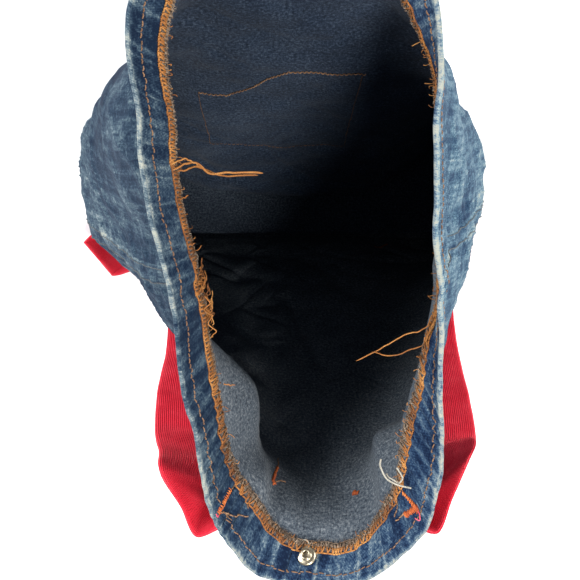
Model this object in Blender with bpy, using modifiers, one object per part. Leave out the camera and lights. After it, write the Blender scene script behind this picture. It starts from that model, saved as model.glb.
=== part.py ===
"""Denim drum stick bag with red webbing straps, standing open.

A tall open-topped bag: a rectangular base, four cloth walls that taper and
twist up to a long narrow mouth, a turned-in hem all round the mouth, a patch
pocket on the front, two webbing shoulder straps on the back and one press
stud that closes the mouth.

Frame: origin at the middle of the base on the floor, +Z up, the pocket side
(front) faces -Y, the strap side (back) faces +Y.  Left and right are the
wearer's, so left is -X.  All lengths in metres.
"""
import bpy
import bmesh
import math
from mathutils import Vector

# ---------------------------------------------------------------- dimensions
BASE_LENGTH = 0.390        # along X
BASE_DEPTH = 0.120         # along Y
RIM_HEIGHT = 0.400         # fold edge of the mouth above the floor
CLOTH = 0.0030             # wall: denim with its seam allowances
BASE_THICK = 0.0050        # base cloth, lining and seam
HEM_DEPTH = 0.0250         # turned-in hem at the mouth
HEM_THICK = 0.0020
TOUCH = 0.0006             # gap kept between pieces that touch
SEAM_GAP = 0.0070          # gap kept between neighbouring walls
WEB_WIDTH = 0.0380         # strap webbing
WEB_THICK = 0.0026
POCKET_WIDTH = 0.146
POCKET_TOP = 0.267
POCKET_HEIGHT = 0.150
SNAP_R = 0.0060            # press stud flange radius
STUD_AT = 0.492            # the stud's place round the mouth, from the front middle
FRONT_HINGE_Y = -0.0590    # where the front wall folds at the base
FRONT_HINGE_Z = 0.0070

# Horizontal sections of the cloth tube, from the base to the fold edge:
# height, half width on +X, half width on -X, front, back,
# corner powers (front, back +X, back -X), sideways drift, dent of the front.
SECTIONS = (
    (0.000, 0.195, 0.195, -0.060, 0.060, 6.0, 6.0, 6.0, 0.000, 0.000),
    (0.018, 0.192, 0.192, -0.0675, 0.0650, 5.4, 5.3, 5.3, 0.000, 0.014),
    (0.040, 0.188, 0.188, -0.077, 0.071, 4.6, 4.4, 4.4, 0.000, 0.086),
    (0.100, 0.174, 0.172, -0.101, 0.085, 3.6, 3.2, 3.4, 0.050, 0.076),
    (0.200, 0.142, 0.148, -0.138, 0.113, 3.1, 1.7, 2.9, 0.200, 0.056),
    (0.300, 0.093, 0.106, -0.166, 0.136, 3.2, 1.8, 2.8, 0.550, 0.030),
    (0.376, 0.062, 0.070, -0.182, 0.148, 4.4, 2.2, 2.4, 0.950, 0.002),
    (0.400, 0.076, 0.073, -0.190, 0.175, 6.0, 2.6, 2.6, 1.000, 0.000),
)


def section(z):
    """The section's figures at height z, smoothly between the table's rows."""
    rows = SECTIONS
    z = min(max(z, rows[0][0]), rows[-1][0])
    i = 0
    while i < len(rows) - 2 and z > rows[i + 1][0]:
        i += 1
    p0, p1 = rows[max(i - 1, 0)], rows[i]
    p2, p3 = rows[i + 1], rows[min(i + 2, len(rows) - 1)]
    h = p2[0] - p1[0]
    t = (z - p1[0]) / h
    out = []
    for c in range(1, len(p1)):
        m1 = (p2[c] - p0[c]) / (p2[0] - p0[0])
        m2 = (p3[c] - p1[c]) / (p3[0] - p1[0])
        t2, t3 = t * t, t * t * t
        out.append((2 * t3 - 3 * t2 + 1) * p1[c] + (t3 - 2 * t2 + t) * h * m1
                   + (-2 * t3 + 3 * t2) * p2[c] + (t3 - t2) * h * m2)
    return out


def drift(y, amount):
    """The mouth leans to -X, more so towards the back."""
    return amount * (-0.014 - 0.011 * math.tanh(y / 0.100))


RING_STEPS = 480
_rings = {}


def ring(z):
    """A closed section, as points and running lengths from the front middle."""
    key = round(z, 6)
    if key in _rings:
        return _rings[key]
    ax, bx, yf, yb, pf, pbx, pby, tw, dent = section(z)
    pts = []
    for k in range(RING_STEPS):
        th = 2 * math.pi * k / RING_STEPS - math.pi / 2
        c, s = math.cos(th), math.sin(th)
        half = ax if c > 0 else bx
        if s < 0:
            p, b = pf, -yf
        else:
            mix = 0.5 + 0.5 * math.tanh(c * 6)
            p, b = pby + (pbx - pby) * mix, yb
        x = half * math.copysign(abs(c) ** (2 / p), c)
        y = b * math.copysign(abs(s) ** (2 / p), s)
        if s < 0:
            y += dent * math.exp(-(abs(x) / (0.78 * half)) ** 4) * (-s) ** 0.5
        pts.append((x + drift(y, tw), y))
    run = [0.0]
    for k in range(RING_STEPS):
        a, b = pts[k], pts[(k + 1) % RING_STEPS]
        run.append(run[-1] + math.hypot(b[0] - a[0], b[1] - a[1]))
    _rings[key] = (pts, run)
    return _rings[key]


def at(u, z):
    """The point a fraction u round the section from the front middle."""
    pts, run = ring(z)
    want = (u % 1.0) * run[-1]
    lo, hi = 0, RING_STEPS
    while hi - lo > 1:
        mid = (lo + hi) // 2
        if run[mid] <= want:
            lo = mid
        else:
            hi = mid
    a, b = pts[lo], pts[(lo + 1) % RING_STEPS]
    t = (want - run[lo]) / max(run[lo + 1] - run[lo], 1e-9)
    return Vector((a[0] + (b[0] - a[0]) * t, a[1] + (b[1] - a[1]) * t, z))


def outward(u, z):
    """Outward normal of the cloth tube."""
    du = at(u + 0.004, z) - at(u - 0.004, z)
    za, zb = max(z - 0.004, 0.0), min(z + 0.004, RIM_HEIGHT)
    dz = at(u, zb) - at(u, za)
    return du.cross(dz).normalized()


def girth(z):
    return ring(z)[1][-1]


def front_cut(z):
    """Where the front wall ends, as a fraction round from its middle."""
    t = z / RIM_HEIGHT
    return (0.150 + (0.044 - 0.150) * t) / girth(z)


BACK_CUT = 0.372


# ------------------------------------------------------------------ scene set-up
for old in list(bpy.data.objects):
    bpy.data.objects.remove(old, do_unlink=True)
PARTS = bpy.data.collections.new("drum_stick_bag")
bpy.context.scene.collection.children.link(PARTS)


def material(name, colour, rough, metal=0.0):
    m = bpy.data.materials.new(name)
    m.use_nodes = True
    b = m.node_tree.nodes["Principled BSDF"]
    b.inputs["Base Color"].default_value = (*colour, 1.0)
    b.inputs["Roughness"].default_value = rough
    b.inputs["Metallic"].default_value = metal
    return m


DENIM = material("washed_denim", (0.14, 0.20, 0.29), 0.9)
HEM = material("denim_hem", (0.09, 0.13, 0.19), 0.9)
RED = material("red_webbing", (0.80, 0.03, 0.07), 0.85)
SNAP = material("nickel_snap", (0.62, 0.56, 0.44), 0.35, 1.0)


def grid_object(name, rows, mat, thick, offset=-1.0, parent=None, pivot=None, smooth=True):
    """A loft through equal rows of points, thickened to one closed piece."""
    bm = bmesh.new()
    verts = [[bm.verts.new(p) for p in row] for row in rows]
    for a, b in zip(verts, verts[1:]):
        for k in range(len(a) - 1):
            bm.faces.new((a[k], a[k + 1], b[k + 1], b[k]))
    me = bpy.data.meshes.new(name)
    bm.to_mesh(me)
    bm.free()
    ob = bpy.data.objects.new(name, me)
    PARTS.objects.link(ob)
    me.materials.append(mat)
    sol = ob.modifiers.new("thickness", "SOLIDIFY")
    sol.thickness = thick
    sol.offset = offset
    sol.use_even_offset = False
    if smooth:
        me.shade_smooth()
    hang(ob, parent)
    return ob


def hang(ob, parent):
    """Parent a piece to its joint's empty, keeping its place."""
    if parent is not None:
        ob.parent = parent
        ob.matrix_parent_inverse = parent.matrix_world.inverted()


def empty(name, place, along):
    e = bpy.data.objects.new(name, None)
    e.empty_display_size = 0.03
    e.location = place
    e.rotation_mode = "QUATERNION"
    e.rotation_quaternion = Vector(along).to_track_quat("Z", "Y")
    PARTS.objects.link(e)
    bpy.context.view_layer.update()
    return e


def levels(z0, z1, step):
    n = max(2, round((z1 - z0) / step))
    return [z0 + (z1 - z0) * k / n for k in range(n + 1)]


def wall(name, ua, ub, zs, cols, depth, thick, mat, parent=None):
    """A piece of the cloth tube between two cut lines, `depth` under its face."""
    rows = []
    for z in zs:
        gap = SEAM_GAP / 2 / girth(z)
        a, b = ua(z) + gap, ub(z) - gap
        row = []
        for k in range(cols + 1):
            u = a + (b - a) * k / cols
            row.append(at(u, z) - outward(u, z) * depth)
        rows.append(row)
    return grid_object(name, rows, mat, thick, -1.0, parent)


# --------------------------------------------------------------- joint pivots
front_pivot = empty("front_fold_pivot", (0.0, FRONT_HINGE_Y, FRONT_HINGE_Z), (-1, 0, 0))

# ----------------------------------------------------------------- cloth walls
low = BASE_THICK + TOUCH + 0.0014
body_levels = levels(low, 0.340, 0.0335) + [0.356, 0.368, 0.378, 0.386, 0.393, 0.3997]
front_levels = [FRONT_HINGE_Z + 0.0022] + body_levels[1:]

wall("front_panel", lambda z: -front_cut(z), front_cut, front_levels, 16,
     0.0, CLOTH, DENIM, front_pivot)
wall("side_panel_right", front_cut, lambda z: BACK_CUT, body_levels, 18, 0.0, CLOTH, DENIM)
wall("back_panel", lambda z: BACK_CUT, lambda z: 1 - BACK_CUT, body_levels, 18,
     0.0, CLOTH, DENIM)
wall("side_panel_left", lambda z: 1 - BACK_CUT, lambda z: 1 - front_cut(z),
     body_levels, 18, 0.0, CLOTH, DENIM)

# ------------------------------------------------------------------------ hem
hem_levels = [0.3800, 0.3860, 0.3920, 0.3965]
inside = CLOTH + TOUCH
wall("hem_front", lambda z: -front_cut(z), front_cut, hem_levels, 12,
     inside, HEM_THICK, HEM, front_pivot)
wall("hem_right", front_cut, lambda z: BACK_CUT, hem_levels, 16, inside, HEM_THICK, HEM)
wall("hem_back", lambda z: BACK_CUT, lambda z: 1 - BACK_CUT, hem_levels, 16,
     inside, HEM_THICK, HEM)
wall("hem_left", lambda z: 1 - BACK_CUT, lambda z: 1 - front_cut(z), hem_levels, 16,
     inside, HEM_THICK, HEM)

# ----------------------------------------------------------------------- base
bm = bmesh.new()
floor_ring = []
steps = 64
for k in range(steps):
    p = at(k / steps, 0.0)
    floor_ring.append(bm.verts.new((p.x, p.y, 0.0)))
bottom = bm.faces.new(floor_ring)
bottom.normal_update()
if bottom.normal.z > 0:
    bottom.normal_flip()
out = bmesh.ops.extrude_face_region(bm, geom=[bottom])
top = [v for v in out["geom"] if isinstance(v, bmesh.types.BMVert)]
bmesh.ops.translate(bm, verts=top, vec=(0, 0, BASE_THICK))
bmesh.ops.recalc_face_normals(bm, faces=bm.faces)
me = bpy.data.meshes.new("base_panel")
bm.to_mesh(me)
bm.free()
base = bpy.data.objects.new("base_panel", me)
me.materials.append(DENIM)
PARTS.objects.link(base)

# --------------------------------------------------------------- front pocket
rows = []
pocket_rows = 12
for r in range(pocket_rows + 1):
    z = POCKET_TOP - POCKET_HEIGHT + POCKET_HEIGHT * r / pocket_rows
    row = []
    for k in range(13):
        across = -1 + 2 * k / 12
        u = across * POCKET_WIDTH / 2 / girth(z)
        row.append(at(u, z) + outward(u, z) * (TOUCH + 0.0002))
    rows.append(row)
grid_object("front_pocket", rows, DENIM, 0.0020, 1.0, front_pivot)

# --------------------------------------------------------------------- straps
def smooth_path(points, per):
    """A smooth curve through the points, `per` steps between each pair."""
    out = []
    for i in range(len(points) - 1):
        p0 = Vector(points[max(i - 1, 0)])
        p1, p2 = Vector(points[i]), Vector(points[i + 1])
        p3 = Vector(points[min(i + 2, len(points) - 1)])
        for k in range(per):
            t = k / per
            out.append(0.5 * ((2 * p1) + (p2 - p0) * t
                              + (2 * p0 - 5 * p1 + 4 * p2 - p3) * t * t
                              + (3 * p1 - p0 - 3 * p2 + p3) * t * t * t))
    out.append(Vector(points[-1]))
    return out


# Each strap's two edges, outer then inner, from its sewn top end to the tab
# that holds it at the corner of the base.
STRAP_RIGHT = (
    ((0.043, 0.146, 0.388), (0.024, 0.143, 0.361)),
    ((0.0505, 0.1475, 0.3795), (0.0330, 0.1460, 0.3580)),
    ((0.0625, 0.1365, 0.3660), (0.0440, 0.1430, 0.3545)),
    ((0.0735, 0.1270, 0.3560), (0.0530, 0.1390, 0.3500)),
    ((0.0775, 0.1215, 0.3470), (0.0550, 0.1340, 0.3420)),
    ((0.0795, 0.1240, 0.3320), (0.0530, 0.1370, 0.3240)),
    ((0.0860, 0.1400, 0.3000), (0.0530, 0.1480, 0.2900)),
    ((0.098, 0.154, 0.245), (0.061, 0.154, 0.242)),
    ((0.106, 0.151, 0.180), (0.068, 0.151, 0.178)),
    ((0.108, 0.143, 0.115), (0.071, 0.143, 0.108)),
    ((0.113, 0.129, 0.070), (0.080, 0.126, 0.052)),
    ((0.134, 0.110, 0.045), (0.106, 0.106, 0.018)),
    ((0.150, 0.098, 0.036), (0.129, 0.093, 0.007)),
)
STRAP_LEFT = (
    ((-0.089, 0.146, 0.388), (-0.070, 0.143, 0.361)),
    ((-0.0975, 0.1455, 0.3790), (-0.0790, 0.1455, 0.3570)),
    ((-0.1100, 0.1300, 0.3670), (-0.0910, 0.1380, 0.3550)),
    ((-0.1210, 0.1150, 0.3570), (-0.1030, 0.1290, 0.3500)),
    ((-0.1265, 0.1080, 0.3480), (-0.1075, 0.1235, 0.3420)),
    ((-0.1290, 0.1100, 0.3320), (-0.1070, 0.1265, 0.3240)),
    ((-0.1370, 0.1330, 0.3000), (-0.1070, 0.1450, 0.2900)),
    ((-0.152, 0.157, 0.250), (-0.114, 0.157, 0.245)),
    ((-0.160, 0.155, 0.190), (-0.122, 0.155, 0.187)),
    ((-0.163, 0.145, 0.130), (-0.126, 0.145, 0.124)),
    ((-0.166, 0.127, 0.080), (-0.132, 0.124, 0.063)),
    ((-0.170, 0.112, 0.052), (-0.142, 0.107, 0.026)),
    ((-0.178, 0.101, 0.038), (-0.156, 0.095, 0.010)),
)
# The tab goes on from the strap's lower end and round to the corner seam.
TAB_RIGHT = (
    ((0.1520, 0.0968, 0.0352), (0.1312, 0.0917, 0.0066)),
    ((0.1720, 0.0910, 0.0310), (0.1500, 0.0850, 0.0042)),
    ((0.1880, 0.0790, 0.0300), (0.1680, 0.0745, 0.0040)),
    ((0.1955, 0.0640, 0.0300), (0.1775, 0.0650, 0.0040)),
    ((0.1865, 0.0490, 0.0300), (0.1740, 0.0595, 0.0055)),
)
TAB_LEFT = (
    ((-0.1800, 0.0995, 0.0374), (-0.1579, 0.0935, 0.0092)),
    ((-0.1885, 0.0900, 0.0320), (-0.1660, 0.0850, 0.0052)),
    ((-0.1950, 0.0770, 0.0300), (-0.1730, 0.0750, 0.0042)),
    ((-0.1955, 0.0630, 0.0300), (-0.1765, 0.0660, 0.0040)),
    ((-0.1865, 0.0490, 0.0300), (-0.1740, 0.0595, 0.0055)),
)


def webbing(name, keys, thick, per, parent=None):
    """A flat band lofted between its two edges."""
    outer = smooth_path([k[0] for k in keys], per)
    inner = smooth_path([k[1] for k in keys], per)
    rows = [[a.lerp(b, f) for f in (0.0, 1 / 3, 2 / 3, 1.0)] for a, b in zip(outer, inner)]
    return grid_object(name, rows, RED, thick, 0.0, parent)


def middle(key):
    return (Vector(key[0]) + Vector(key[1])) / 2


for side, keys, tab in (("right", STRAP_RIGHT, TAB_RIGHT), ("left", STRAP_LEFT, TAB_LEFT)):
    top, low_end = middle(keys[0]), middle(keys[-1])
    along = low_end - top if side == "right" else top - low_end
    pivot = empty("strap_%s_pivot" % side, top, along)
    webbing("strap_" + side, keys, WEB_THICK, 4, pivot)
    webbing("corner_tab_" + side, tab, 2 * WEB_THICK * 0.8, 3)


def sewn_end(name, keys, spots):
    """The strap's sewn end: from under the hem's outer face out to the strap."""
    edges = []
    for (un, zn), (uf, zf) in spots:
        edges.append((at(un, zn) + outward(un, zn) * 0.0032,
                      at(uf, zf) + outward(uf, zf) * 0.0032))
    n, f = Vector(keys[0][0]), Vector(keys[0][1])
    dn = (n - edges[-1][0]).normalized() * 0.0090
    df = (f - edges[-1][1]).normalized() * 0.0090
    edges.append((n - dn, f - df))
    return webbing(name, edges, WEB_THICK, 3)


sewn_end("strap_end_right", STRAP_RIGHT,
         (((0.462, 0.391), (0.472, 0.366)), ((0.445, 0.392), (0.452, 0.366)),
          ((0.428, 0.393), (0.435, 0.365))))
sewn_end("strap_end_left", STRAP_LEFT,
         (((0.540, 0.391), (0.530, 0.366)), ((0.557, 0.392), (0.550, 0.366)),
          ((0.574, 0.393), (0.567, 0.365))))

# ----------------------------------------------------------------- press stud
def turned(name, profile, mat, place, axis, parent=None, steps=24):
    """A turned piece: its profile runs down the outside, then back at the axis."""
    me = bpy.data.meshes.new(name)
    bm = bmesh.new()
    vs = [bm.verts.new((r, 0.0, h)) for r, h in profile]
    for a, b in zip(vs, vs[1:]):
        bm.edges.new((a, b))
    bm.to_mesh(me)
    bm.free()
    ob = bpy.data.objects.new(name, me)
    PARTS.objects.link(ob)
    me.materials.append(mat)
    sc = ob.modifiers.new("turn", "SCREW")
    sc.steps = steps
    sc.render_steps = steps
    sc.use_merge_vertices = True
    sc.merge_threshold = 0.00005
    sc.use_smooth_shade = True
    ob.rotation_mode = "QUATERNION"
    ob.rotation_quaternion = Vector(axis).to_track_quat("Z", "Y")
    ob.location = place
    bpy.context.view_layer.update()
    hang(ob, parent)
    return ob


def wall_seat(u, z, depth):
    """A seat on the hem's inner face (depth > 0) or on the wall's outer face."""
    n = outward(u, z)
    return at(u, z) - n * depth, n


STUD = ((0.0, 0.0046), (0.0016, 0.0046), (0.0021, 0.0040), (0.0019, 0.0026),
        (0.0024, 0.0016), (0.0052, 0.0012), (SNAP_R, 0.0006), (SNAP_R, 0.0), (0.0, 0.0))
CAP = ((0.0, 0.0018), (0.0030, 0.0016), (0.0055, 0.0009), (0.0062, 0.0), (0.0, 0.0))
SOCKET = ((0.0, 0.0008), (0.0019, 0.0008), (0.0024, 0.0012), (0.0026, 0.0030),
          (0.0042, 0.0032), (0.0055, 0.0022), (0.0062, 0.0008), (0.0062, 0.0), (0.0, 0.0))

hem_face = CLOTH + TOUCH + HEM_THICK + 0.0012
for tag, u, z, inner, names, parent in (
        ("back", STUD_AT, 0.3885, STUD, ("snap_stud", "snap_stud_cap"), None),
        ("front", 0.0, 0.3885, SOCKET, ("snap_socket", "snap_socket_cap"), front_pivot)):
    place, n = wall_seat(u, z, hem_face)
    turned(names[0], inner, SNAP, place, -n, parent)
    place, n = wall_seat(u, z, -0.0008)
    turned(names[1], CAP, SNAP, place, n, parent)
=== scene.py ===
"""Looks of the denim drum stick bag: cloth shell, hem, stitching, webbing straps, press stud.

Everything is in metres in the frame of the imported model.  -Y is the pocket side (front),
+Y the strap side (back).  The cloth is one lofted sheet: u runs once round the bag from the
middle of the front towards +X, and d runs down the cloth from the fold edge of the mouth.
"""
import bpy
import math
import numpy as np
from mathutils import Matrix, Vector


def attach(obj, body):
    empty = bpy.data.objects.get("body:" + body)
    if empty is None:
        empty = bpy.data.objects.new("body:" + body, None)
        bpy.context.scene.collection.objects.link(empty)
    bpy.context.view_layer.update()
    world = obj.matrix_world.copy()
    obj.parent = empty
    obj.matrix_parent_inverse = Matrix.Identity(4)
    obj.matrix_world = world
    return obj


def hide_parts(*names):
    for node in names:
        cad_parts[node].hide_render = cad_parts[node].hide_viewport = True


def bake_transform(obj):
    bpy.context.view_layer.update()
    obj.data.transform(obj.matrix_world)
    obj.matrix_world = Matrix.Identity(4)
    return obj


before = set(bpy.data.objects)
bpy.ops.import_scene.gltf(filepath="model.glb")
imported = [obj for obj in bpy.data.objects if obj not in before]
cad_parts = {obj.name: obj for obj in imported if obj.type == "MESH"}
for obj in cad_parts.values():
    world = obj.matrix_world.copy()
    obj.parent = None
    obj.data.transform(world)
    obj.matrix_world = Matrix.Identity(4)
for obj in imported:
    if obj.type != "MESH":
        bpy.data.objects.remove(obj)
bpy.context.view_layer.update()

# --------------------------------------------------------------------------------------
# The bag's shape: the same sections as the CAD's cloth tube
# --------------------------------------------------------------------------------------
RIM = 0.400
SECTIONS = np.array((
    (0.000, 0.195, 0.195, -0.060, 0.060, 6.0, 6.0, 6.0, 0.000, 0.000),
    (0.018, 0.192, 0.192, -0.0675, 0.0650, 5.4, 5.3, 5.3, 0.000, 0.014),
    (0.040, 0.188, 0.188, -0.077, 0.071, 4.6, 4.4, 4.4, 0.000, 0.086),
    (0.100, 0.174, 0.172, -0.101, 0.085, 3.6, 3.2, 3.4, 0.050, 0.076),
    (0.200, 0.142, 0.148, -0.138, 0.113, 3.1, 1.7, 2.9, 0.200, 0.056),
    (0.300, 0.093, 0.106, -0.166, 0.136, 3.2, 1.8, 2.8, 0.550, 0.030),
    (0.376, 0.062, 0.070, -0.182, 0.148, 4.4, 2.2, 2.4, 0.950, 0.002),
    (0.400, 0.076, 0.073, -0.190, 0.175, 6.0, 2.6, 2.6, 1.000, 0.000),
))
CLOTH = 0.0012            # one layer of denim
FACE = 0.0029             # from the outer face to the turned-in hem's face
HEM = 0.0250              # depth of the turned-in hem


def section(z):
    rows = SECTIONS
    z = min(max(z, rows[0, 0]), rows[-1, 0])
    i = 0
    while i < len(rows) - 2 and z > rows[i + 1, 0]:
        i += 1
    p0, p1 = rows[max(i - 1, 0)], rows[i]
    p2, p3 = rows[i + 1], rows[min(i + 2, len(rows) - 1)]
    h = p2[0] - p1[0]
    t = (z - p1[0]) / h
    m1 = (p2 - p0) / (p2[0] - p0[0])
    m2 = (p3 - p1) / (p3[0] - p1[0])
    t2, t3 = t * t, t * t * t
    return ((2 * t3 - 3 * t2 + 1) * p1 + (t3 - 2 * t2 + t) * h * m1
            + (-2 * t3 + 3 * t2) * p2 + (t3 - t2) * h * m2)[1:]


def ring(z, u):
    """Points of the section at height z at the fractions u round it."""
    ax, bx, yf, yb, pf, pbx, pby, tw, dent = section(z)
    th = np.linspace(0, 2 * np.pi, 1441)[:-1] - np.pi / 2
    c, s = np.cos(th), np.sin(th)
    half = np.where(c > 0, ax, bx)
    mix = 0.5 + 0.5 * np.tanh(c * 6)
    p = np.where(s < 0, pf, pby + (pbx - pby) * mix)
    b = np.where(s < 0, -yf, yb)
    x = half * np.sign(c) * np.abs(c) ** (2 / p)
    y = b * np.sign(s) * np.abs(s) ** (2 / p)
    y = np.where(s < 0, y + dent * np.exp(-(np.abs(x) / (0.78 * half)) ** 4)
                 * np.sqrt(np.maximum(-s, 0)), y)
    x = x + tw * (-0.014 - 0.011 * np.tanh(y / 0.100))
    x, y = np.append(x, x[0]), np.append(y, y[0])
    run = np.concatenate(([0.0], np.cumsum(np.hypot(np.diff(x), np.diff(y)))))
    want = (np.asarray(u) % 1.0) * run[-1]
    return np.stack((np.interp(want, run, x), np.interp(want, run, y),
                     np.full(len(want), z)), 1)


def lattice(seed, nx, ny):
    return np.random.default_rng(seed).uniform(-1, 1, (ny + 3, nx))


def noise(u, v, nx, ny, seed):
    """Smooth noise, periodic in u (0..1), with nx by ny cells; v is 0..1."""
    g = lattice(seed, nx, ny)
    x = (u % 1.0) * nx
    y = np.clip(v, 0, 1) * ny
    xi, yi = np.floor(x).astype(int), np.floor(y).astype(int)
    fx, fy = x - xi, y - yi
    fx, fy = fx * fx * fx * (fx * (fx * 6 - 15) + 10), fy * fy * fy * (fy * (fy * 6 - 15) + 10)
    x0, x1 = xi % nx, (xi + 1) % nx
    a = g[yi, x0] * (1 - fx) + g[yi, x1] * fx
    b = g[yi + 1, x0] * (1 - fx) + g[yi + 1, x1] * fx
    return a * (1 - fy) + b * fy


def bump(x, centre, width):
    return np.exp(-((x - centre) / width) ** 2)


def wrap(u):
    """Signed distance on the ring, -0.5..0.5."""
    return (u + 0.5) % 1.0 - 0.5


NU = 720                       # columns round the bag
HEM_ROWS = 27
BODY_ROWS = 150
GIRTH = 0.86                   # typical girth, for texture lengths

U = np.arange(NU) / NU
zs = np.concatenate((np.linspace(0, 0.34, 120), np.linspace(0.342, RIM, 60)))
base = np.stack([ring(z, U) for z in zs])              # [z, u, 3]

# the fold edge wavers a little, and dips and lumps at the bulky side seams
top = base[-1].copy()
wob = (0.0011 * noise(U, U * 0, 46, 1, 3) + 0.0016 * noise(U, U * 0, 19, 1, 4))
out2d = np.roll(top, -1, 0) - np.roll(top, 1, 0)
out2d = np.stack((out2d[:, 1], -out2d[:, 0]), 1)
out2d /= np.linalg.norm(out2d, axis=1)[:, None]
fade = np.clip((zs - 0.33) / (RIM - 0.33), 0, 1) ** 1.5
base[:, :, 0] += fade[:, None] * wob[None] * out2d[None, :, 0]
base[:, :, 1] += fade[:, None] * wob[None] * out2d[None, :, 1]
lift = 0.0010 * noise(U, U * 0, 15, 1, 5) - 0.0007
base[:, :, 2] += fade[:, None] ** 2 * lift[None]

# The mouth sags in on one side and flares at the back corners: u, then millimetres
# outwards at the fold edge and at the hem's raw edge.
FLARE = np.array((
    (0.000, 0.0, 0.0), (0.070, 0.0, 0.0), (0.100, 0.5, 0.0), (0.200, -1.0, -1.0),
    (0.233, -5.0, -3.5), (0.267, -6.5, -5.0), (0.300, -6.0, -6.5), (0.333, -6.0, -5.0),
    (0.367, -3.0, -2.0), (0.400, -1.0, -3.5), (0.433, 0.0, -4.5), (0.460, 0.0, -4.5),
    (0.482, 0.0, -0.5), (0.500, 0.0, 0.0), (0.525, 0.0, -1.0), (0.540, 0.5, -3.0),
    (0.567, 3.5, -4.0), (0.585, 6.5, -7.0), (0.600, 8.5, -8.0), (0.633, 5.5, -7.5),
    (0.667, 2.5, -1.5), (0.690, 0.0, 0.5), (0.710, 0.0, 6.0), (0.735, 1.5, 12.5),
    (0.800, 3.0, 14.5), (0.833, 1.0, 13.5), (0.860, 3.0, 13.0), (0.885, 4.0, 8.5),
    (0.905, 4.0, 4.0), (0.933, 2.0, 1.0),
    (0.970, 0.0, 0.0), (1.000, 0.0, 0.0)))


def flare(col):
    v = np.interp(U, FLARE[:, 0], FLARE[:, col]) * 0.001
    k = np.exp(-(np.arange(-14, 15) / 6.0) ** 2)
    return np.convolve(np.concatenate((v[-14:], v, v[:14])), k / k.sum(), "valid")


up = np.clip((zs - 0.384) / 0.016, 0, 1)
under = np.clip((zs - 0.325) / 0.059, 0, 1)
under = under * under * (3 - 2 * under)
shift = up[:, None] * flare(1)[None] + ((1 - up) * under)[:, None] * flare(2)[None]
base[:, :, :2] += shift[..., None] * out2d[None]

# below the hem the back corners sink inwards in soft lobes, and so do the walls under them
cu, cz = U[None], zs[:, None]
sink = (0.0300 * np.exp(-((cu - 0.366) / 0.048) ** 2) * np.exp(-((cz - 0.336) / 0.025) ** 2)
        + 0.0120 * np.exp(-((cu - 0.335) / 0.045) ** 2) * np.exp(-((cz - 0.215) / 0.095) ** 2)
        + 0.0060 * np.exp(-((cu - 0.300) / 0.030) ** 2) * np.exp(-((cz - 0.085) / 0.045) ** 2)
        + 0.0170 * np.exp(-((cu - 0.574) / 0.020) ** 2) * np.exp(-((cz - 0.340) / 0.022) ** 2)
        + 0.0100 * np.exp(-((cu - 0.665) / 0.045) ** 2) * np.exp(-((cz - 0.215) / 0.095) ** 2))
sink *= np.clip(cz / 0.03, 0, 1) * np.clip((0.3800 - cz) / 0.012, 0, 1)
base[:, :, :2] -= sink[..., None] * out2d[None]

# resample each column by distance down the cloth from the fold edge
rev = base[::-1]
step = np.linalg.norm(np.diff(rev, axis=0), axis=2)
depth = np.concatenate((np.zeros((1, NU)), np.cumsum(step, 0)))
DLEN = depth[-1]
rows_d = []
for k in range(NU):
    body = np.linspace(HEM, DLEN[k], BODY_ROWS + 1)[1:]
    rows_d.append(np.concatenate((np.linspace(0, HEM, HEM_ROWS), body)))
D = np.stack(rows_d, 1)                                   # [row, u] distance from the rim
# at the back corners the hem is bunched wider: u, then extra millimetres of face
WIDER = np.array(((0.0, 0.0), (0.380, 0.0), (0.400, 2.5), (0.420, 4.5), (0.440, 5.0), (0.460, 4.5),
                  (0.480, 0.5), (0.510, 0.0), (0.525, 1.5), (0.545, 3.5), (0.560, 5.0), (0.580, 7.5),
                  (0.600, 8.5), (0.625, 8.5), (0.640, 6.5), (0.660, 2.0), (0.675, 0.0), (1.0, 0.0)))
wider = np.interp(U, WIDER[:, 0], WIDER[:, 1]) * 0.001
gain = np.clip((D - 0.009) / 0.0095, 0, 1)
gain = gain * gain * (3 - 2 * gain) * np.clip(1 - (D - HEM) / 0.09, 0, 1)
TEX = D + gain * wider[None]
S = np.empty(D.shape + (3,))
for k in range(NU):
    for a in range(3):
        S[:, k, a] = np.interp(TEX[:, k], depth[:, k], rev[:, k, a])
UU = np.broadcast_to(U, D.shape)
ZZ = S[:, :, 2].copy()


def normals(P):
    du = np.roll(P, -1, 1) - np.roll(P, 1, 1)
    dd = np.empty_like(P)
    dd[1:-1] = P[:-2] - P[2:]
    dd[0], dd[-1] = P[0] - P[1], P[-2] - P[-1]
    n = np.cross(du, dd)
    return n / np.maximum(np.linalg.norm(n, axis=2), 1e-9)[..., None]


N0 = normals(S)

# ----- folds, creases and puckers of the cloth ---------------------------------------
V = np.clip(D / 0.40, 0, 1)
below = np.clip((D - HEM) / 0.05, 0, 1)
hem_in = np.clip(D / 0.004, 0, 1) * np.clip((HEM + 0.004 - D) / 0.006, 0, 1)
W = np.zeros_like(D)
W += below * 0.0042 * noise(UU, V, 9, 3, 11)
W += below * 0.0021 * noise(UU + 0.13 * V, V, 23, 7, 12)
W += below * 0.0008 * noise(UU - 0.2 * V, V, 60, 20, 13)
# long soft folds falling from the mouth
W += 0.0016 * np.clip(D / 0.03, 0, 1) * np.exp(-D / 0.16) * noise(UU, V * 0.4, 34, 2, 14)


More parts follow.
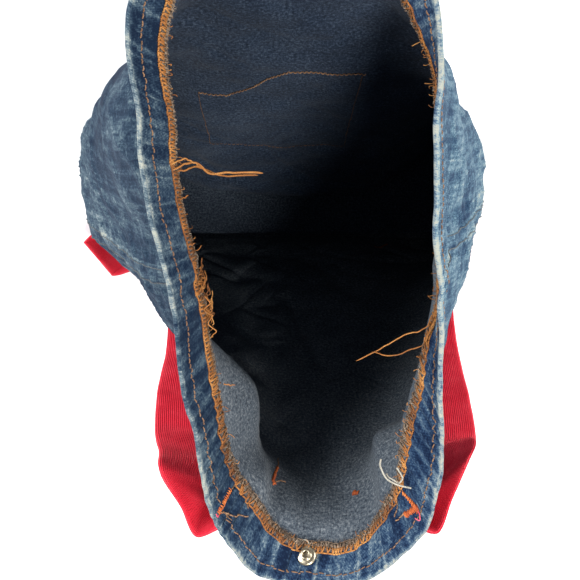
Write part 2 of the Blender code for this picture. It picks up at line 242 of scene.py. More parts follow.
def crease(points, amp, width, taper=0.12):
    """A ridge (amp > 0) or groove along a line of (u, height) points, lengths in metres; a ridge is lightened as wear
    and a groove is darkened as painted shade.
    """
    global W, WEAR_AND_GROOVE_SHADE
    pts = np.array([(p[0] * GIRTH, p[1]) for p in points])
    best = np.full(D.shape, 1e9)
    where = np.zeros(D.shape)
    total = np.sum(np.linalg.norm(np.diff(pts, axis=0), axis=1))
    run = 0.0
    for a, b in zip(pts[:-1], pts[1:]):
        ab = b - a
        ln = np.linalg.norm(ab)
        px = (wrap(UU - points[0][0]) + points[0][0]) * GIRTH - a[0]
        pz = ZZ - a[1]
        t = np.clip((px * ab[0] + pz * ab[1]) / ln ** 2, 0, 1)
        dist = np.hypot(px - t * ab[0], pz - t * ab[1])
        where = np.where(dist < best, (run + t * ln) / total, where)
        best = np.minimum(best, dist)
        run += ln
    ends = np.clip(where / taper, 0, 1) * np.clip((1 - where) / taper, 0, 1)
    ends = ends * ends * (3 - 2 * ends)
    shape = np.exp(-(best / width) ** 2) * ends
    W += amp * shape
    if amp > 0:
        WEAR_AND_GROOVE_SHADE += 0.42 * shape * min(1.0, amp / 0.002)
    else:
        # painted shade: a groove is darkened
        WEAR_AND_GROOVE_SHADE -= 0.26 * shape


# real wear and the painted shade of crease grooves go into one map
WEAR_AND_GROOVE_SHADE = np.zeros_like(D)
# the sharp little folds of soft cloth, slanting round the corners and denser low down
for cells, tilt_, amp, seed in ((24, 0.55, 0.0048, 71), (41, -0.40, 0.0030, 72), (15, 0.20, 0.0040, 73)):
    r_ = 1 - np.abs(noise(UU + tilt_ * V, V, cells, 9 if cells > 20 else 6, seed))
    r_ = r_ ** 4
    low = 0.35 + 0.65 * np.clip((0.22 - ZZ) / 0.16, 0, 1)
    sides = 0.45 + 0.55 * np.maximum(bump(wrap(UU - 0.25), 0, 0.13), bump(wrap(UU - 0.75), 0, 0.13))
    W += below * amp * (r_ - 0.25) * low * sides
    WEAR_AND_GROOVE_SHADE += below * (0.52 * r_ - 0.16) * low * sides
# back wall: the long crease seen inside, and its branch low down
crease([(0.508, 0.232), (0.500, 0.180), (0.4965, 0.118)], -0.0026, 0.0050)
crease([(0.4965, 0.122), (0.508, 0.098), (0.540, 0.062)], -0.0022, 0.0060)
crease([(0.520, 0.240), (0.514, 0.170), (0.512, 0.110)], 0.0018, 0.0120)
crease([(0.455, 0.250), (0.462, 0.160), (0.452, 0.070)], 0.0016, 0.0110)
# left-back lower corner (photo left): slanting folds above the base seam
crease([(0.215, 0.050), (0.262, 0.040), (0.305, 0.030), (0.345, 0.046)], 0.0026, 0.0050)
crease([(0.205, 0.074), (0.255, 0.060), (0.300, 0.052), (0.340, 0.075)], -0.0024, 0.0055)
crease([(0.225, 0.100), (0.270, 0.080), (0.315, 0.078)], 0.0022, 0.0060)
crease([(0.240, 0.128), (0.285, 0.104), (0.330, 0.112)], -0.0020, 0.0070)
crease([(0.250, 0.160), (0.300, 0.130), (0.345, 0.150)], 0.0016, 0.0080)
crease([(0.130, 0.060), (0.170, 0.090), (0.190, 0.150)], 0.0022, 0.0090)
crease([(0.150, 0.040), (0.200, 0.110), (0.215, 0.190)], -0.0020, 0.0090)
# the other side
crease([(0.690, 0.060), (0.730, 0.045), (0.775, 0.050), (0.815, 0.075)], 0.0022, 0.0060)
crease([(0.680, 0.095), (0.730, 0.075), (0.790, 0.085)], -0.0020, 0.0070)
crease([(0.720, 0.120), (0.760, 0.160), (0.770, 0.230)], 0.0018, 0.0090)
crease([(0.800, 0.080), (0.820, 0.150), (0.815, 0.220)], -0.0018, 0.0100)
# front wall, folds where it caves in
crease([(0.930, 0.060), (0.960, 0.045), (0.040, 0.045), (0.075, 0.065)][0:2], 0.0020, 0.0080)
crease([(0.060, 0.150), (0.085, 0.090), (0.110, 0.050)], 0.0020, 0.0100)
crease([(0.880, 0.060), (0.905, 0.100), (0.925, 0.160)], 0.0020, 0.0100)
# the front corner bellies out on the +X side, and a little on the other
W += 0.0190 * bump(wrap(UU - 0.148), 0, 0.070) * bump(ZZ, 0.282, 0.082) * np.clip((0.380 - ZZ) / 0.02, 0, 1)
W += 0.0080 * bump(wrap(UU - 0.142), 0, 0.060) * bump(ZZ, 0.332, 0.036) * np.clip((0.383 - ZZ) / 0.02, 0, 1)
W += 0.0030 * bump(wrap(UU - 0.855), 0, 0.050) * bump(ZZ, 0.235, 0.075)
W += 0.0100 * bump(wrap(UU - 0.852), 0, 0.060) * bump(ZZ, 0.318, 0.045) * np.clip((0.383 - ZZ) / 0.02, 0, 1)
# bunched cloth below the hem, either side of the stud
for uc, amp in ((0.405, 0.0030), (0.432, -0.0028), (0.452, 0.0024), (0.474, -0.0012),
                (0.545, 0.0022), (0.566, -0.0026), (0.590, 0.0028), (0.370, -0.0020),
                (0.620, -0.0020)):
    W += amp * bump(wrap(UU - uc), 0, 0.009) * bump(D, 0.040, 0.020)

# roping: slanting ridges across the turned-in hem, strongest round the back
rope_amp = 0.00040 + 0.00022 * noise(UU, V * 0, 21, 1, 31) + 0.00062 * bump(wrap(UU - 0.5), 0, 0.17)
phase = UU * GIRTH / 0.0105 + 0.55 * noise(UU, V * 0, 30, 1, 32) * 3.0
rope = np.sin(2 * np.pi * (phase + (D / HEM) * 0.28)) * (0.6 + 0.4 * noise(UU, V * 3, 90, 3, 33))
W_HEM = rope_amp * rope * hem_in
W += W_HEM
WEAR_AND_GROOVE_SHADE += 0.34 * hem_in * rope * (0.5 + 0.5 * bump(wrap(UU - 0.5), 0, 0.2))
# the topstitch pulls a small valley in the hem
STITCH_D = 0.0070
W -= 0.00045 * bump(D, STITCH_D, 0.0011)
# puckers along the felled side seams
for su in (0.262, 0.748):
    near = bump(np.abs(wrap(UU - su)) * GIRTH, 0.012, 0.010)
    W += 0.0006 * near * np.sin(2 * np.pi * (D / 0.0125 + 0.6 * noise(UU, V, 60, 12, 35))) \
        * np.clip(D / 0.02, 0, 1)
# bulky side seams lift the hem
SEAMS = (0.262, 0.748)
for su in SEAMS:
    W += 0.0014 * bump(wrap(UU - su), 0, 0.006) * bump(D, 0.010, 0.018)

wash = np.exp(-(D / 0.0011) ** 2)
WEAR_AND_GROOVE_SHADE += 0.60 * wash * (0.8 + 0.35 * noise(UU, V * 0, 150, 1, 43))
WEAR_AND_GROOVE_SHADE += 0.16 * np.exp(-D / 0.006)
WEAR_AND_GROOVE_SHADE += 0.10 * noise(UU, V, 17, 8, 41) + 0.10 * noise(UU, V, 60, 30, 42)

# the cloth is sewn to the base, so it lies still there, and it stays in its box
hold = np.clip(ZZ / 0.030, 0, 1)
W *= hold
W += 0.0016 * bump(ZZ, 0.0100, 0.0030) - 0.0007 * bump(ZZ, 0.0160, 0.0026)
WEAR_AND_GROOVE_SHADE += 0.35 * bump(ZZ, 0.0105, 0.0022) + 0.12 * bump(ZZ, 0.004, 0.003)
for su in SEAMS:
    flat = np.clip((0.0070 - np.abs(wrap(UU - su)) * GIRTH) / 0.0016, 0, 1)
    W += 0.0009 * flat * np.clip(D / 0.004, 0, 1)
    WEAR_AND_GROOVE_SHADE += 0.34 * bump(np.abs(wrap(UU - su)) * GIRTH, 0.0066, 0.0010) * np.clip(D / 0.02, 0, 1)
    WEAR_AND_GROOVE_SHADE += 0.10 * flat
P_OUT = S + N0 * W[..., None]
P_OUT[:, :, 2] = np.maximum(P_OUT[:, :, 2], 0.0006)
N_OUT = normals(P_OUT)


def cloth(u, d, off=0.0):
    """Point on the finished cloth, `off` outside its outer face, and the outward normal."""
    x = (u % 1.0) * NU
    i = int(x) % NU
    j = (i + 1) % NU
    f = x - int(x)

    def col(k):
        if d <= HEM:
            r = d / HEM * (HEM_ROWS - 1)
        else:
            r = HEM_ROWS - 1 + (d - HEM) / (DLEN[k] - HEM) * BODY_ROWS
        r = min(max(r, 0), len(D) - 1.001)
        a = int(r)
        g = r - a
        return (P_OUT[a, k] * (1 - g) + P_OUT[a + 1, k] * g,
                N_OUT[a, k] * (1 - g) + N_OUT[a + 1, k] * g)
    pa, na = col(i)
    pb, nb = col(j)
    p, n = pa * (1 - f) + pb * f, na * (1 - f) + nb * f
    n = n / np.linalg.norm(n)
    return p + n * off, n


# --------------------------------------------------------------------------------------
# Meshes
# --------------------------------------------------------------------------------------
def make_mesh(name, verts, faces, uvs=None, slots=None, attrs=None, mats=()):
    me = bpy.data.meshes.new(name)
    verts = np.asarray(verts, np.float32)
    faces = np.asarray(faces, np.int32)
    me.vertices.add(len(verts))
    me.vertices.foreach_set("co", verts.ravel())
    me.loops.add(faces.size)
    me.loops.foreach_set("vertex_index", faces.ravel())
    me.polygons.add(len(faces))
    n = faces.shape[1]
    me.polygons.foreach_set("loop_start", np.arange(len(faces), dtype=np.int32) * n)
    me.polygons.foreach_set("loop_total", np.full(len(faces), n, np.int32))
    me.update(calc_edges=True)
    if uvs is not None:
        layer = me.uv_layers.new(name="UVMap")
        layer.data.foreach_set("uv", np.asarray(uvs, np.float32)[faces.ravel()].ravel())
    for k, a in (attrs or {}).items():
        at = me.attributes.new(k, "FLOAT", "POINT")
        at.data.foreach_set("value", np.asarray(a, np.float32))
    for m in mats:
        me.materials.append(m)
    if slots is not None:
        me.polygons.foreach_set("material_index", np.asarray(slots, np.int32))
    me.polygons.foreach_set("use_smooth", np.ones(len(faces), bool))
    me.validate()
    ob = bpy.data.objects.new(name, me)
    bpy.context.scene.collection.objects.link(ob)
    return ob


class Tubes:
    """Many thin threads gathered in one mesh."""

    def __init__(self, sides=6):
        self.v, self.f, self.uv, self.n, self.sides = [], [], [], 0, sides
        self.tone = []

    def add(self, pts, radius, tone=0.5, close_ends=True, ry=None, up=None):
        pts = np.asarray(pts, float)
        m = len(pts)
        tan = np.gradient(pts, axis=0)
        tan /= np.maximum(np.linalg.norm(tan, axis=1), 1e-12)[:, None]
        ref = np.array((0.0, 0.0, 1.0)) if up is None else np.asarray(up, float)
        if ref.ndim == 1:
            ref = np.broadcast_to(ref, pts.shape)
        a = np.cross(tan, ref)
        bad = np.linalg.norm(a, axis=1) < 1e-4
        a[bad] = np.cross(tan[bad], (1.0, 0.2, 0.0))
        a /= np.linalg.norm(a, axis=1)[:, None]
        b = np.cross(a, tan)
        r = np.broadcast_to(np.asarray(radius, float), (m,))
        r2 = r if ry is None else np.broadcast_to(np.asarray(ry, float), (m,))
        s = self.sides
        ang = np.arange(s) * 2 * np.pi / s
        ringp = (a[:, None] * (np.cos(ang)[None, :, None] * r[:, None, None])
                 + b[:, None] * (np.sin(ang)[None, :, None] * r2[:, None, None]) + pts[:, None])
        self.v.append(ringp.reshape(-1, 3))
        run = np.concatenate(([0], np.cumsum(np.linalg.norm(np.diff(pts, axis=0), axis=1))))
        self.uv.append(np.stack((np.repeat(run, s), np.tile(ang / (2 * np.pi), m)), 1))
        self.tone.append(np.full(m * s, tone))
        i = np.arange(m - 1)[:, None] * s
        k = np.arange(s)[None]
        k2 = (k + 1) % s
        q = np.stack((i + k, i + k2, i + s + k2, i + s + k), -1).reshape(-1, 4)
        self.f.append(q + self.n)
        if close_ends:
            for row, flip in ((0, True), (m - 1, False)):
                c = pts[row]
                self.v.append(c[None])
                self.uv.append(np.array([[run[row], 0.5]]))
                self.tone.append(np.array([tone]))
                ci = self.n + m * s + (0 if row == 0 else 1)
                o = self.n + row * s
                for t in range(0, s):
                    t2 = (t + 1) % s
                    tri = (o + t2, o + t, ci, ci) if flip else (o + t, o + t2, ci, ci)
                    self.f.append(np.array([tri]))
            self.n += m * s + 2
        else:
            self.n += m * s

    def build(self, name, mat):
        verts = np.concatenate(self.v)
        faces = np.concatenate(self.f)
        uv = np.concatenate(self.uv)
        tone = np.concatenate(self.tone)
        quads = faces[faces[:, 2] != faces[:, 3]]
        tris = faces[faces[:, 2] == faces[:, 3]][:, :3]
        me = bpy.data.meshes.new(name)
        me.vertices.add(len(verts))
        me.vertices.foreach_set("co", verts.astype(np.float32).ravel())
        idx = np.concatenate((quads.ravel(), tris.ravel())).astype(np.int32)
        me.loops.add(len(idx))
        me.loops.foreach_set("vertex_index", idx)
        tot = np.concatenate((np.full(len(quads), 4), np.full(len(tris), 3))).astype(np.int32)
        me.polygons.add(len(tot))
        me.polygons.foreach_set("loop_start", np.concatenate(([0], np.cumsum(tot)[:-1])).astype(np.int32))
        me.polygons.foreach_set("loop_total", tot)
        me.update(calc_edges=True)
        layer = me.uv_layers.new(name="UVMap")
        layer.data.foreach_set("uv", uv[idx].astype(np.float32).ravel())
        at = me.attributes.new("tone", "FLOAT", "POINT")
        at.data.foreach_set("value", tone.astype(np.float32))
        me.materials.append(mat)
        me.polygons.foreach_set("use_smooth", np.ones(len(tot), bool))
        me.validate()
        ob = bpy.data.objects.new(name, me)
        bpy.context.scene.collection.objects.link(ob)
        return ob


def bend(ob):
    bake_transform(ob)
    return ob


# --------------------------------------------------------------------------------------
# Materials
# --------------------------------------------------------------------------------------
class Mat:
    """A small helper for writing node materials."""

    def __init__(self, name):
        self.m = bpy.data.materials.new(name)
        self.m.use_nodes = True
        self.t = self.m.node_tree
        self.b = self.t.nodes["Principled BSDF"]

    def node(self, kind, **props):
        n = self.t.nodes.new(kind)
        for k, v in props.items():
            setattr(n, k, v)
        return n

    def put(self, socket, value):
        if isinstance(value, bpy.types.NodeSocket):
            self.t.links.new(value, socket)
        else:
            socket.default_value = value

    def math(self, op, a, b=0.0, c=0.0, clamp=False):
        n = self.node("ShaderNodeMath", operation=op, use_clamp=clamp)
        self.put(n.inputs[0], a)
        self.put(n.inputs[1], b)
        if len(n.inputs) > 2:
            self.put(n.inputs[2], c)
        return n.outputs[0]

    def vec(self, op, a, b):
        n = self.node("ShaderNodeVectorMath", operation=op)
        self.put(n.inputs[0], a)
        self.put(n.inputs[1], b)
        return n.outputs[0]

    def noise(self, vec, scale, detail=2.0, rough=0.5, dist=0.0):
        n = self.node("ShaderNodeTexNoise")
        self.put(n.inputs["Vector"], vec)
        n.inputs["Scale"].default_value = scale
        n.inputs["Detail"].default_value = detail
        n.inputs["Roughness"].default_value = rough
        n.inputs["Distortion"].default_value = dist
        return n.outputs[0]

    def uv(self):
        return self.node("ShaderNodeUVMap", uv_map="UVMap").outputs[0]

    def pos(self):
        return self.node("ShaderNodeTexCoord").outputs["Object"]

    def attr(self, name):
        return self.node("ShaderNodeAttribute", attribute_name=name).outputs["Fac"]

    def split(self, vec):
        n = self.node("ShaderNodeSeparateXYZ")
        self.put(n.inputs[0], vec)
        return n.outputs

    def join(self, x, y, z=0.0):
        n = self.node("ShaderNodeCombineXYZ")
        self.put(n.inputs[0], x)
        self.put(n.inputs[1], y)
        self.put(n.inputs[2], z)
        return n.outputs[0]

    def ramp(self, fac, stops):
        n = self.node("ShaderNodeValToRGB")
        r = n.color_ramp
        while len(r.elements) < len(stops):
            r.elements.new(0.5)
        for e, (p, c) in zip(r.elements, stops):
            e.position = p
            e.color = (*c, 1.0)
        self.put(n.inputs[0], fac)
        return n.outputs[0]

    def mix(self, fac, a, b, mode="MIX"):
        n = self.node("ShaderNodeMix", data_type="RGBA", blend_type=mode)
        self.put(n.inputs[0], fac)
        for s, v in ((n.inputs[6], a), (n.inputs[7], b)):
            self.put(s, v if isinstance(v, bpy.types.NodeSocket) else (*v, 1.0))
        return n.outputs[2]

    def wave(self, value, pitch):
        """A sine of a length in metres, -1..1."""
        return self.math("SINE", self.math("MULTIPLY", value, 2 * math.pi / pitch))

    def bump(self, height, strength, distance, normal=None):
        n = self.node("ShaderNodeBump")
        n.inputs["Strength"].default_value = strength
        n.inputs["Distance"].default_value = distance
        self.put(n.inputs["Height"], height)
        if normal is not None:
            self.put(n.inputs["Normal"], normal)
        return n.outputs[0]

    def finish(self, color, rough, normal=None, metal=0.0, sheen=0.0, sheen_tint=None):
        self.put(self.b.inputs["Base Color"], color if isinstance(color, bpy.types.NodeSocket)
                 else (*color, 1.0))
        self.put(self.b.inputs["Roughness"], rough)
        self.put(self.b.inputs["Metallic"], metal)
        if sheen:
            self.b.inputs["Sheen Weight"].default_value = sheen
            self.b.inputs["Sheen Roughness"].default_value = 0.5
            if sheen_tint:
                self.b.inputs["Sheen Tint"].default_value = (*sheen_tint, 1.0)
        if metal == 0.0 or isinstance(metal, bpy.types.NodeSocket):
            pass
        if normal is not None:
            self.put(self.b.inputs["Normal"], normal)
        return self.m


# painted shade: darker, greyer colours that the +X side of the outer denim mixes into
SHADE_GREY_STOPS = ((0.0, (0.004, 0.011, 0.026)), (0.30, (0.018, 0.034, 0.056)),
              (0.55, (0.058, 0.086, 0.106)), (0.78, (0.150, 0.184, 0.196)),
              (1.0, (0.290, 0.300, 0.262)))


def denim(name, stops, level, contrast=1.0, raw_edge=False):
    """Right side of washed denim: steep twill, pale weft flecks, wash marks, worn ridges."""
    m = Mat(name)
    uv = m.uv()
    x, y, _ = m.split(uv)
    wear = m.attr("wear")
    # twill lines climb steeply to the right
    line = m.math("ADD", m.math("MULTIPLY", x, 0.87), m.math("MULTIPLY", y, 0.50))
    jitter = m.math("MULTIPLY", m.noise(uv, 900.0, 1.0), 0.0005)
    twill = m.wave(m.math("ADD", line, jitter), 0.00105)
    warp = m.noise(m.join(m.math("MULTIPLY", x, 1500.0), m.math("MULTIPLY", y, 140.0)), 1.0, 2.0)
    weft = m.noise(m.join(m.math("MULTIPLY", x, 260.0), m.math("MULTIPLY", y, 1300.0)), 1.0, 2.0)
    streak = m.noise(m.join(m.math("MULTIPLY", x, 230.0), m.math("MULTIPLY", y, 16.0)), 1.0, 3.0, 0.6)
    cloud = m.noise(uv, 26.0, 4.0, 0.55)
    patch = m.noise(uv, 9.0, 2.0, 0.5)
    fleck = m.noise(uv, 560.0, 3.0, 0.8)
    mottle = m.noise(uv, 105.0, 4.0, 0.65, 0.4)
    v = m.math("ADD", level, m.math("MULTIPLY", m.math("SUBTRACT", cloud, 0.5), 0.34 * contrast))
    v = m.math("ADD", v, m.math("MULTIPLY", m.math("SUBTRACT", patch, 0.5), 0.24 * contrast))
    v = m.math("ADD", v, m.math("MULTIPLY", m.math("SUBTRACT", mottle, 0.5), 0.46 * contrast))
    v = m.math("ADD", v, m.math("MULTIPLY", m.math("SUBTRACT", streak, 0.5), 0.52 * contrast))
    v = m.math("ADD", v, m.math("MULTIPLY", m.math("SUBTRACT", fleck, 0.5), 1.45))
    v = m.math("ADD", v, m.math("MULTIPLY", m.math("SUBTRACT", warp, 0.5), 0.36))
    v = m.math("ADD", v, m.math("MULTIPLY", m.math("SUBTRACT", weft, 0.5), 0.22))
    v = m.math("ADD", v, m.math("MULTIPLY", twill, 0.055))
    # painted shade: the dark attribute darkens the +X side of the denim
    v = m.math("ADD", v, m.math("MULTIPLY", m.attr("dark"), -0.16))
    # the wear attribute also carries painted shade in the grooves of the shell's creases
    v = m.math("ADD", v, m.math("MULTIPLY", wear, 0.62), clamp=True)
    col = m.ramp(v, stops)
    # painted shade: the +X side mixes into the darker, greyer ramp
    col = m.mix(m.attr("shade_grey"), col, m.ramp(v, SHADE_GREY_STOPS))
    if raw_edge:
        fuzz = m.noise(uv, 1100.0, 3.0, 0.75)
        tan = m.ramp(fuzz, ((0.25, (0.045, 0.034, 0.026)), (0.50, (0.150, 0.112, 0.078)),
                            (0.75, (0.320, 0.270, 0.210))))
        col = m.mix(m.math("MULTIPLY", m.attr("raw"), 0.85), col, tan)
    h = m.math("ADD", m.math("MULTIPLY", twill, 0.5), m.math("MULTIPLY", fleck, 0.9))
    h = m.math("ADD", h, m.math("MULTIPLY", warp, 0.6))
    n1 = m.bump(h, 0.55, 0.00022)
    n2 = m.bump(cloud, 0.25, 0.004, n1)
    rough = m.math("SUBTRACT", 0.97, m.math("MULTIPLY", fleck, 0.08))
    m.b.inputs["Specular IOR Level"].default_value = 0.10
    return m.finish(col, rough, n2, sheen=0.05, sheen_tint=(0.6, 0.75, 1.0))


OUT_STOPS = ((0.0, (0.004, 0.016, 0.044)), (0.30, (0.018, 0.046, 0.088)),
             (0.55, (0.060, 0.115, 0.164)), (0.78, (0.152, 0.228, 0.270)),
             (1.0, (0.290, 0.304, 0.264)))
HEM_STOPS = ((0.0, (0.002, 0.007, 0.024)), (0.28, (0.010, 0.026, 0.062)),
             (0.52, (0.040, 0.074, 0.120)), (0.78, (0.155, 0.200, 0.226)),
             (1.0, (0.290, 0.296, 0.256)))
mat_out = denim("denim_outside", OUT_STOPS, 0.46, 2.1)
mat_face = denim("denim_hem_face", HEM_STOPS, 0.36, 2.4, True)
mat_pocket = denim("denim_pocket", OUT_STOPS, 0.42, 2.2)


def wrong_side(name):
    """Wrong side of the denim: pale weft over dark warp, a fine salt and pepper cloth."""
    m = Mat(name)
    uv = m.uv()
    x, y, _ = m.split(uv)
    wear = m.attr("wear")
    a = m.wave(x, 0.00085)
    b = m.wave(y, 0.00085)
    weave = m.math("MULTIPLY", a, b)
    slub_x = m.noise(m.join(m.math("MULTIPLY", x, 150.0), m.math("MULTIPLY", y, 1400.0)), 1.0, 2.0)
    slub_y = m.noise(m.join(m.math("MULTIPLY", x, 1400.0), m.math("MULTIPLY", y, 150.0)), 1.0, 2.0)
    fleck = m.noise(uv, 520.0, 3.0, 0.8)
    cloud = m.noise(uv, 22.0, 4.0, 0.6)
    v = m.math("ADD", 0.42, m.math("MULTIPLY", m.math("SUBTRACT", fleck, 0.5), 1.9))
    v = m.math("ADD", v, m.math("MULTIPLY", weave, 0.10))
    v = m.math("ADD", v, m.math("MULTIPLY", m.math("SUBTRACT", slub_x, 0.5), 0.45))
    v = m.math("ADD", v, m.math("MULTIPLY", m.math("SUBTRACT", slub_y, 0.5), 0.30))
    v = m.math("ADD", v, m.math("MULTIPLY", m.math("SUBTRACT", cloud, 0.5), 0.35))
    # the wear attribute also carries painted shade in the grooves of the shell's creases
    v = m.math("ADD", v, m.math("MULTIPLY", wear, 0.25), clamp=True)
    col = m.ramp(v, ((0.0, (0.012, 0.017, 0.026)), (0.35, (0.052, 0.066, 0.084)),
                     (0.62, (0.122, 0.138, 0.154)), (1.0, (0.330, 0.345, 0.345))))
    # painted shade: a darker, bluer copy of the ramp for the shaded front wall and base inside
    blue_shade = m.ramp(v, ((0.0, (0.002, 0.005, 0.011)), (0.35, (0.011, 0.020, 0.039)),
                      (0.62, (0.034, 0.052, 0.085)), (1.0, (0.120, 0.150, 0.195))))
    col = m.mix(m.attr("blue_shade"), col, blue_shade)
    h = m.math("ADD", m.math("MULTIPLY", weave, 0.4), m.math("MULTIPLY", fleck, 1.0))
    n1 = m.bump(h, 0.5, 0.00022)
    n2 = m.bump(cloud, 0.3, 0.004, n1)
    m.b.inputs["Specular IOR Level"].default_value = 0.15
    return m.finish(col, 0.97, n2, sheen=0.04)


mat_in = wrong_side("denim_inside")


def thread(name, dark, mid, light, scale=1.0):
    """Twisted sewing thread with a little fuzz and colour change along it."""
    m = Mat(name)
    uv = m.uv()
    x, y, _ = m.split(uv)
    tone = m.attr("tone")
    twist = m.wave(m.math("ADD", x, m.math("MULTIPLY", y, 0.0009 * scale)), 0.0009 * scale)
    drift = m.noise(m.pos(), 140.0, 2.0)
    fuzz = m.noise(m.pos(), 3200.0, 2.0, 0.7)
    v = m.math("ADD", m.math("MULTIPLY", twist, 0.10), m.math("MULTIPLY", m.math("SUBTRACT", drift, 0.5), 0.9))
    v = m.math("ADD", v, m.math("MULTIPLY", m.math("SUBTRACT", fuzz, 0.5), 0.35))
    v = m.math("ADD", v, tone, clamp=True)
    col = m.ramp(v, ((0.0, dark), (0.5, mid), (1.0, light)))
    n = m.bump(m.math("ADD", twist, m.math("MULTIPLY", fuzz, 0.8)), 0.6, 0.00012 * scale)
    return m.finish(col, 0.72, n, sheen=0.15, sheen_tint=light)


mat_orange = thread("thread_orange", (0.085, 0.026, 0.006), (0.300, 0.105, 0.017), (0.520, 0.255, 0.070))
mat_copper = thread("thread_copper", (0.060, 0.030, 0.018), (0.185, 0.092, 0.044), (0.340, 0.200, 0.110))
mat_faded = thread("thread_faded", (0.030, 0.034, 0.040), (0.085, 0.092, 0.098), (0.180, 0.180, 0.170))
mat_tack = thread("thread_bartack", (0.210, 0.030, 0.006), (0.450, 0.092, 0.014), (0.620, 0.220, 0.050))
mat_pink = thread("thread_pink", (0.450, 0.030, 0.070), (0.700, 0.070, 0.130), (0.900, 0.260, 0.300))
mat_cream = thread("thread_cream", (0.170, 0.155, 0.125), (0.330, 0.305, 0.250), (0.500, 0.475, 0.410))
mat_fray = thread("thread_fray", (0.070, 0.038, 0.020), (0.195, 0.125, 0.078), (0.380, 0.310, 0.235))


def red_webbing():
    m = Mat("red_webbing")
    uv = m.uv()
    x, y, _ = m.split(uv)
    wear = m.attr("wear")
    rib = m.wave(x, 0.00165)
    pick = m.wave(m.math("ADD", y, m.math("MULTIPLY", rib, 0.00018)), 0.00125)
    knit = m.math("MULTIPLY", m.math("ADD", rib, 0.35), m.math("ADD", pick, 1.3))
    fuzz = m.noise(uv, 900.0, 3.0, 0.7)
    cloud = m.noise(uv, 45.0, 3.0)
    v = m.math("ADD", 0.60, m.math("MULTIPLY", knit, 0.085))
    v = m.math("ADD", v, m.math("MULTIPLY", m.math("SUBTRACT", fuzz, 0.5), 0.95))
    v = m.math("ADD", v, m.math("MULTIPLY", m.math("SUBTRACT", cloud, 0.5), 0.55))
    v = m.math("ADD", v, m.math("MULTIPLY", wear, 0.4), clamp=True)
    col = m.ramp(v, ((0.0, (0.220, 0.002, 0.008)), (0.42, (0.640, 0.007, 0.024)),
                     (0.70, (0.860, 0.022, 0.048)), (1.0, (0.960, 0.110, 0.140))))
    h = m.math("ADD", m.math("MULTIPLY", knit, 0.5), m.math("MULTIPLY", fuzz, 0.9))
    n1 = m.bump(h, 0.95, 0.00050)
    m.b.inputs["Specular IOR Level"].default_value = 0.12
    return m.finish(col, 0.92, n1, sheen=0.10, sheen_tint=(1.0, 0.04, 0.08))


mat_red = red_webbing()


def snap_metal():
    m = Mat("snap_metal")
    pos = m.pos()
    scratch = m.noise(pos, 900.0, 4.0, 0.6, 1.5)
    stain = m.noise(pos, 260.0, 3.0)
    v = m.math("ADD", m.math("MULTIPLY", scratch, 0.35), m.math("MULTIPLY", stain, 0.65))
    col = m.ramp(v, ((0.25, (0.230, 0.180, 0.110)), (0.50, (0.430, 0.370, 0.265)),
                     (0.80, (0.640, 0.585, 0.470))))
    rough = m.math("ADD", 0.24, m.math("MULTIPLY", stain, 0.22))
    n = m.bump(scratch, 0.15, 0.0002)
    return m.finish(col, rough, n, metal=1.0)


mat_snap = snap_metal()

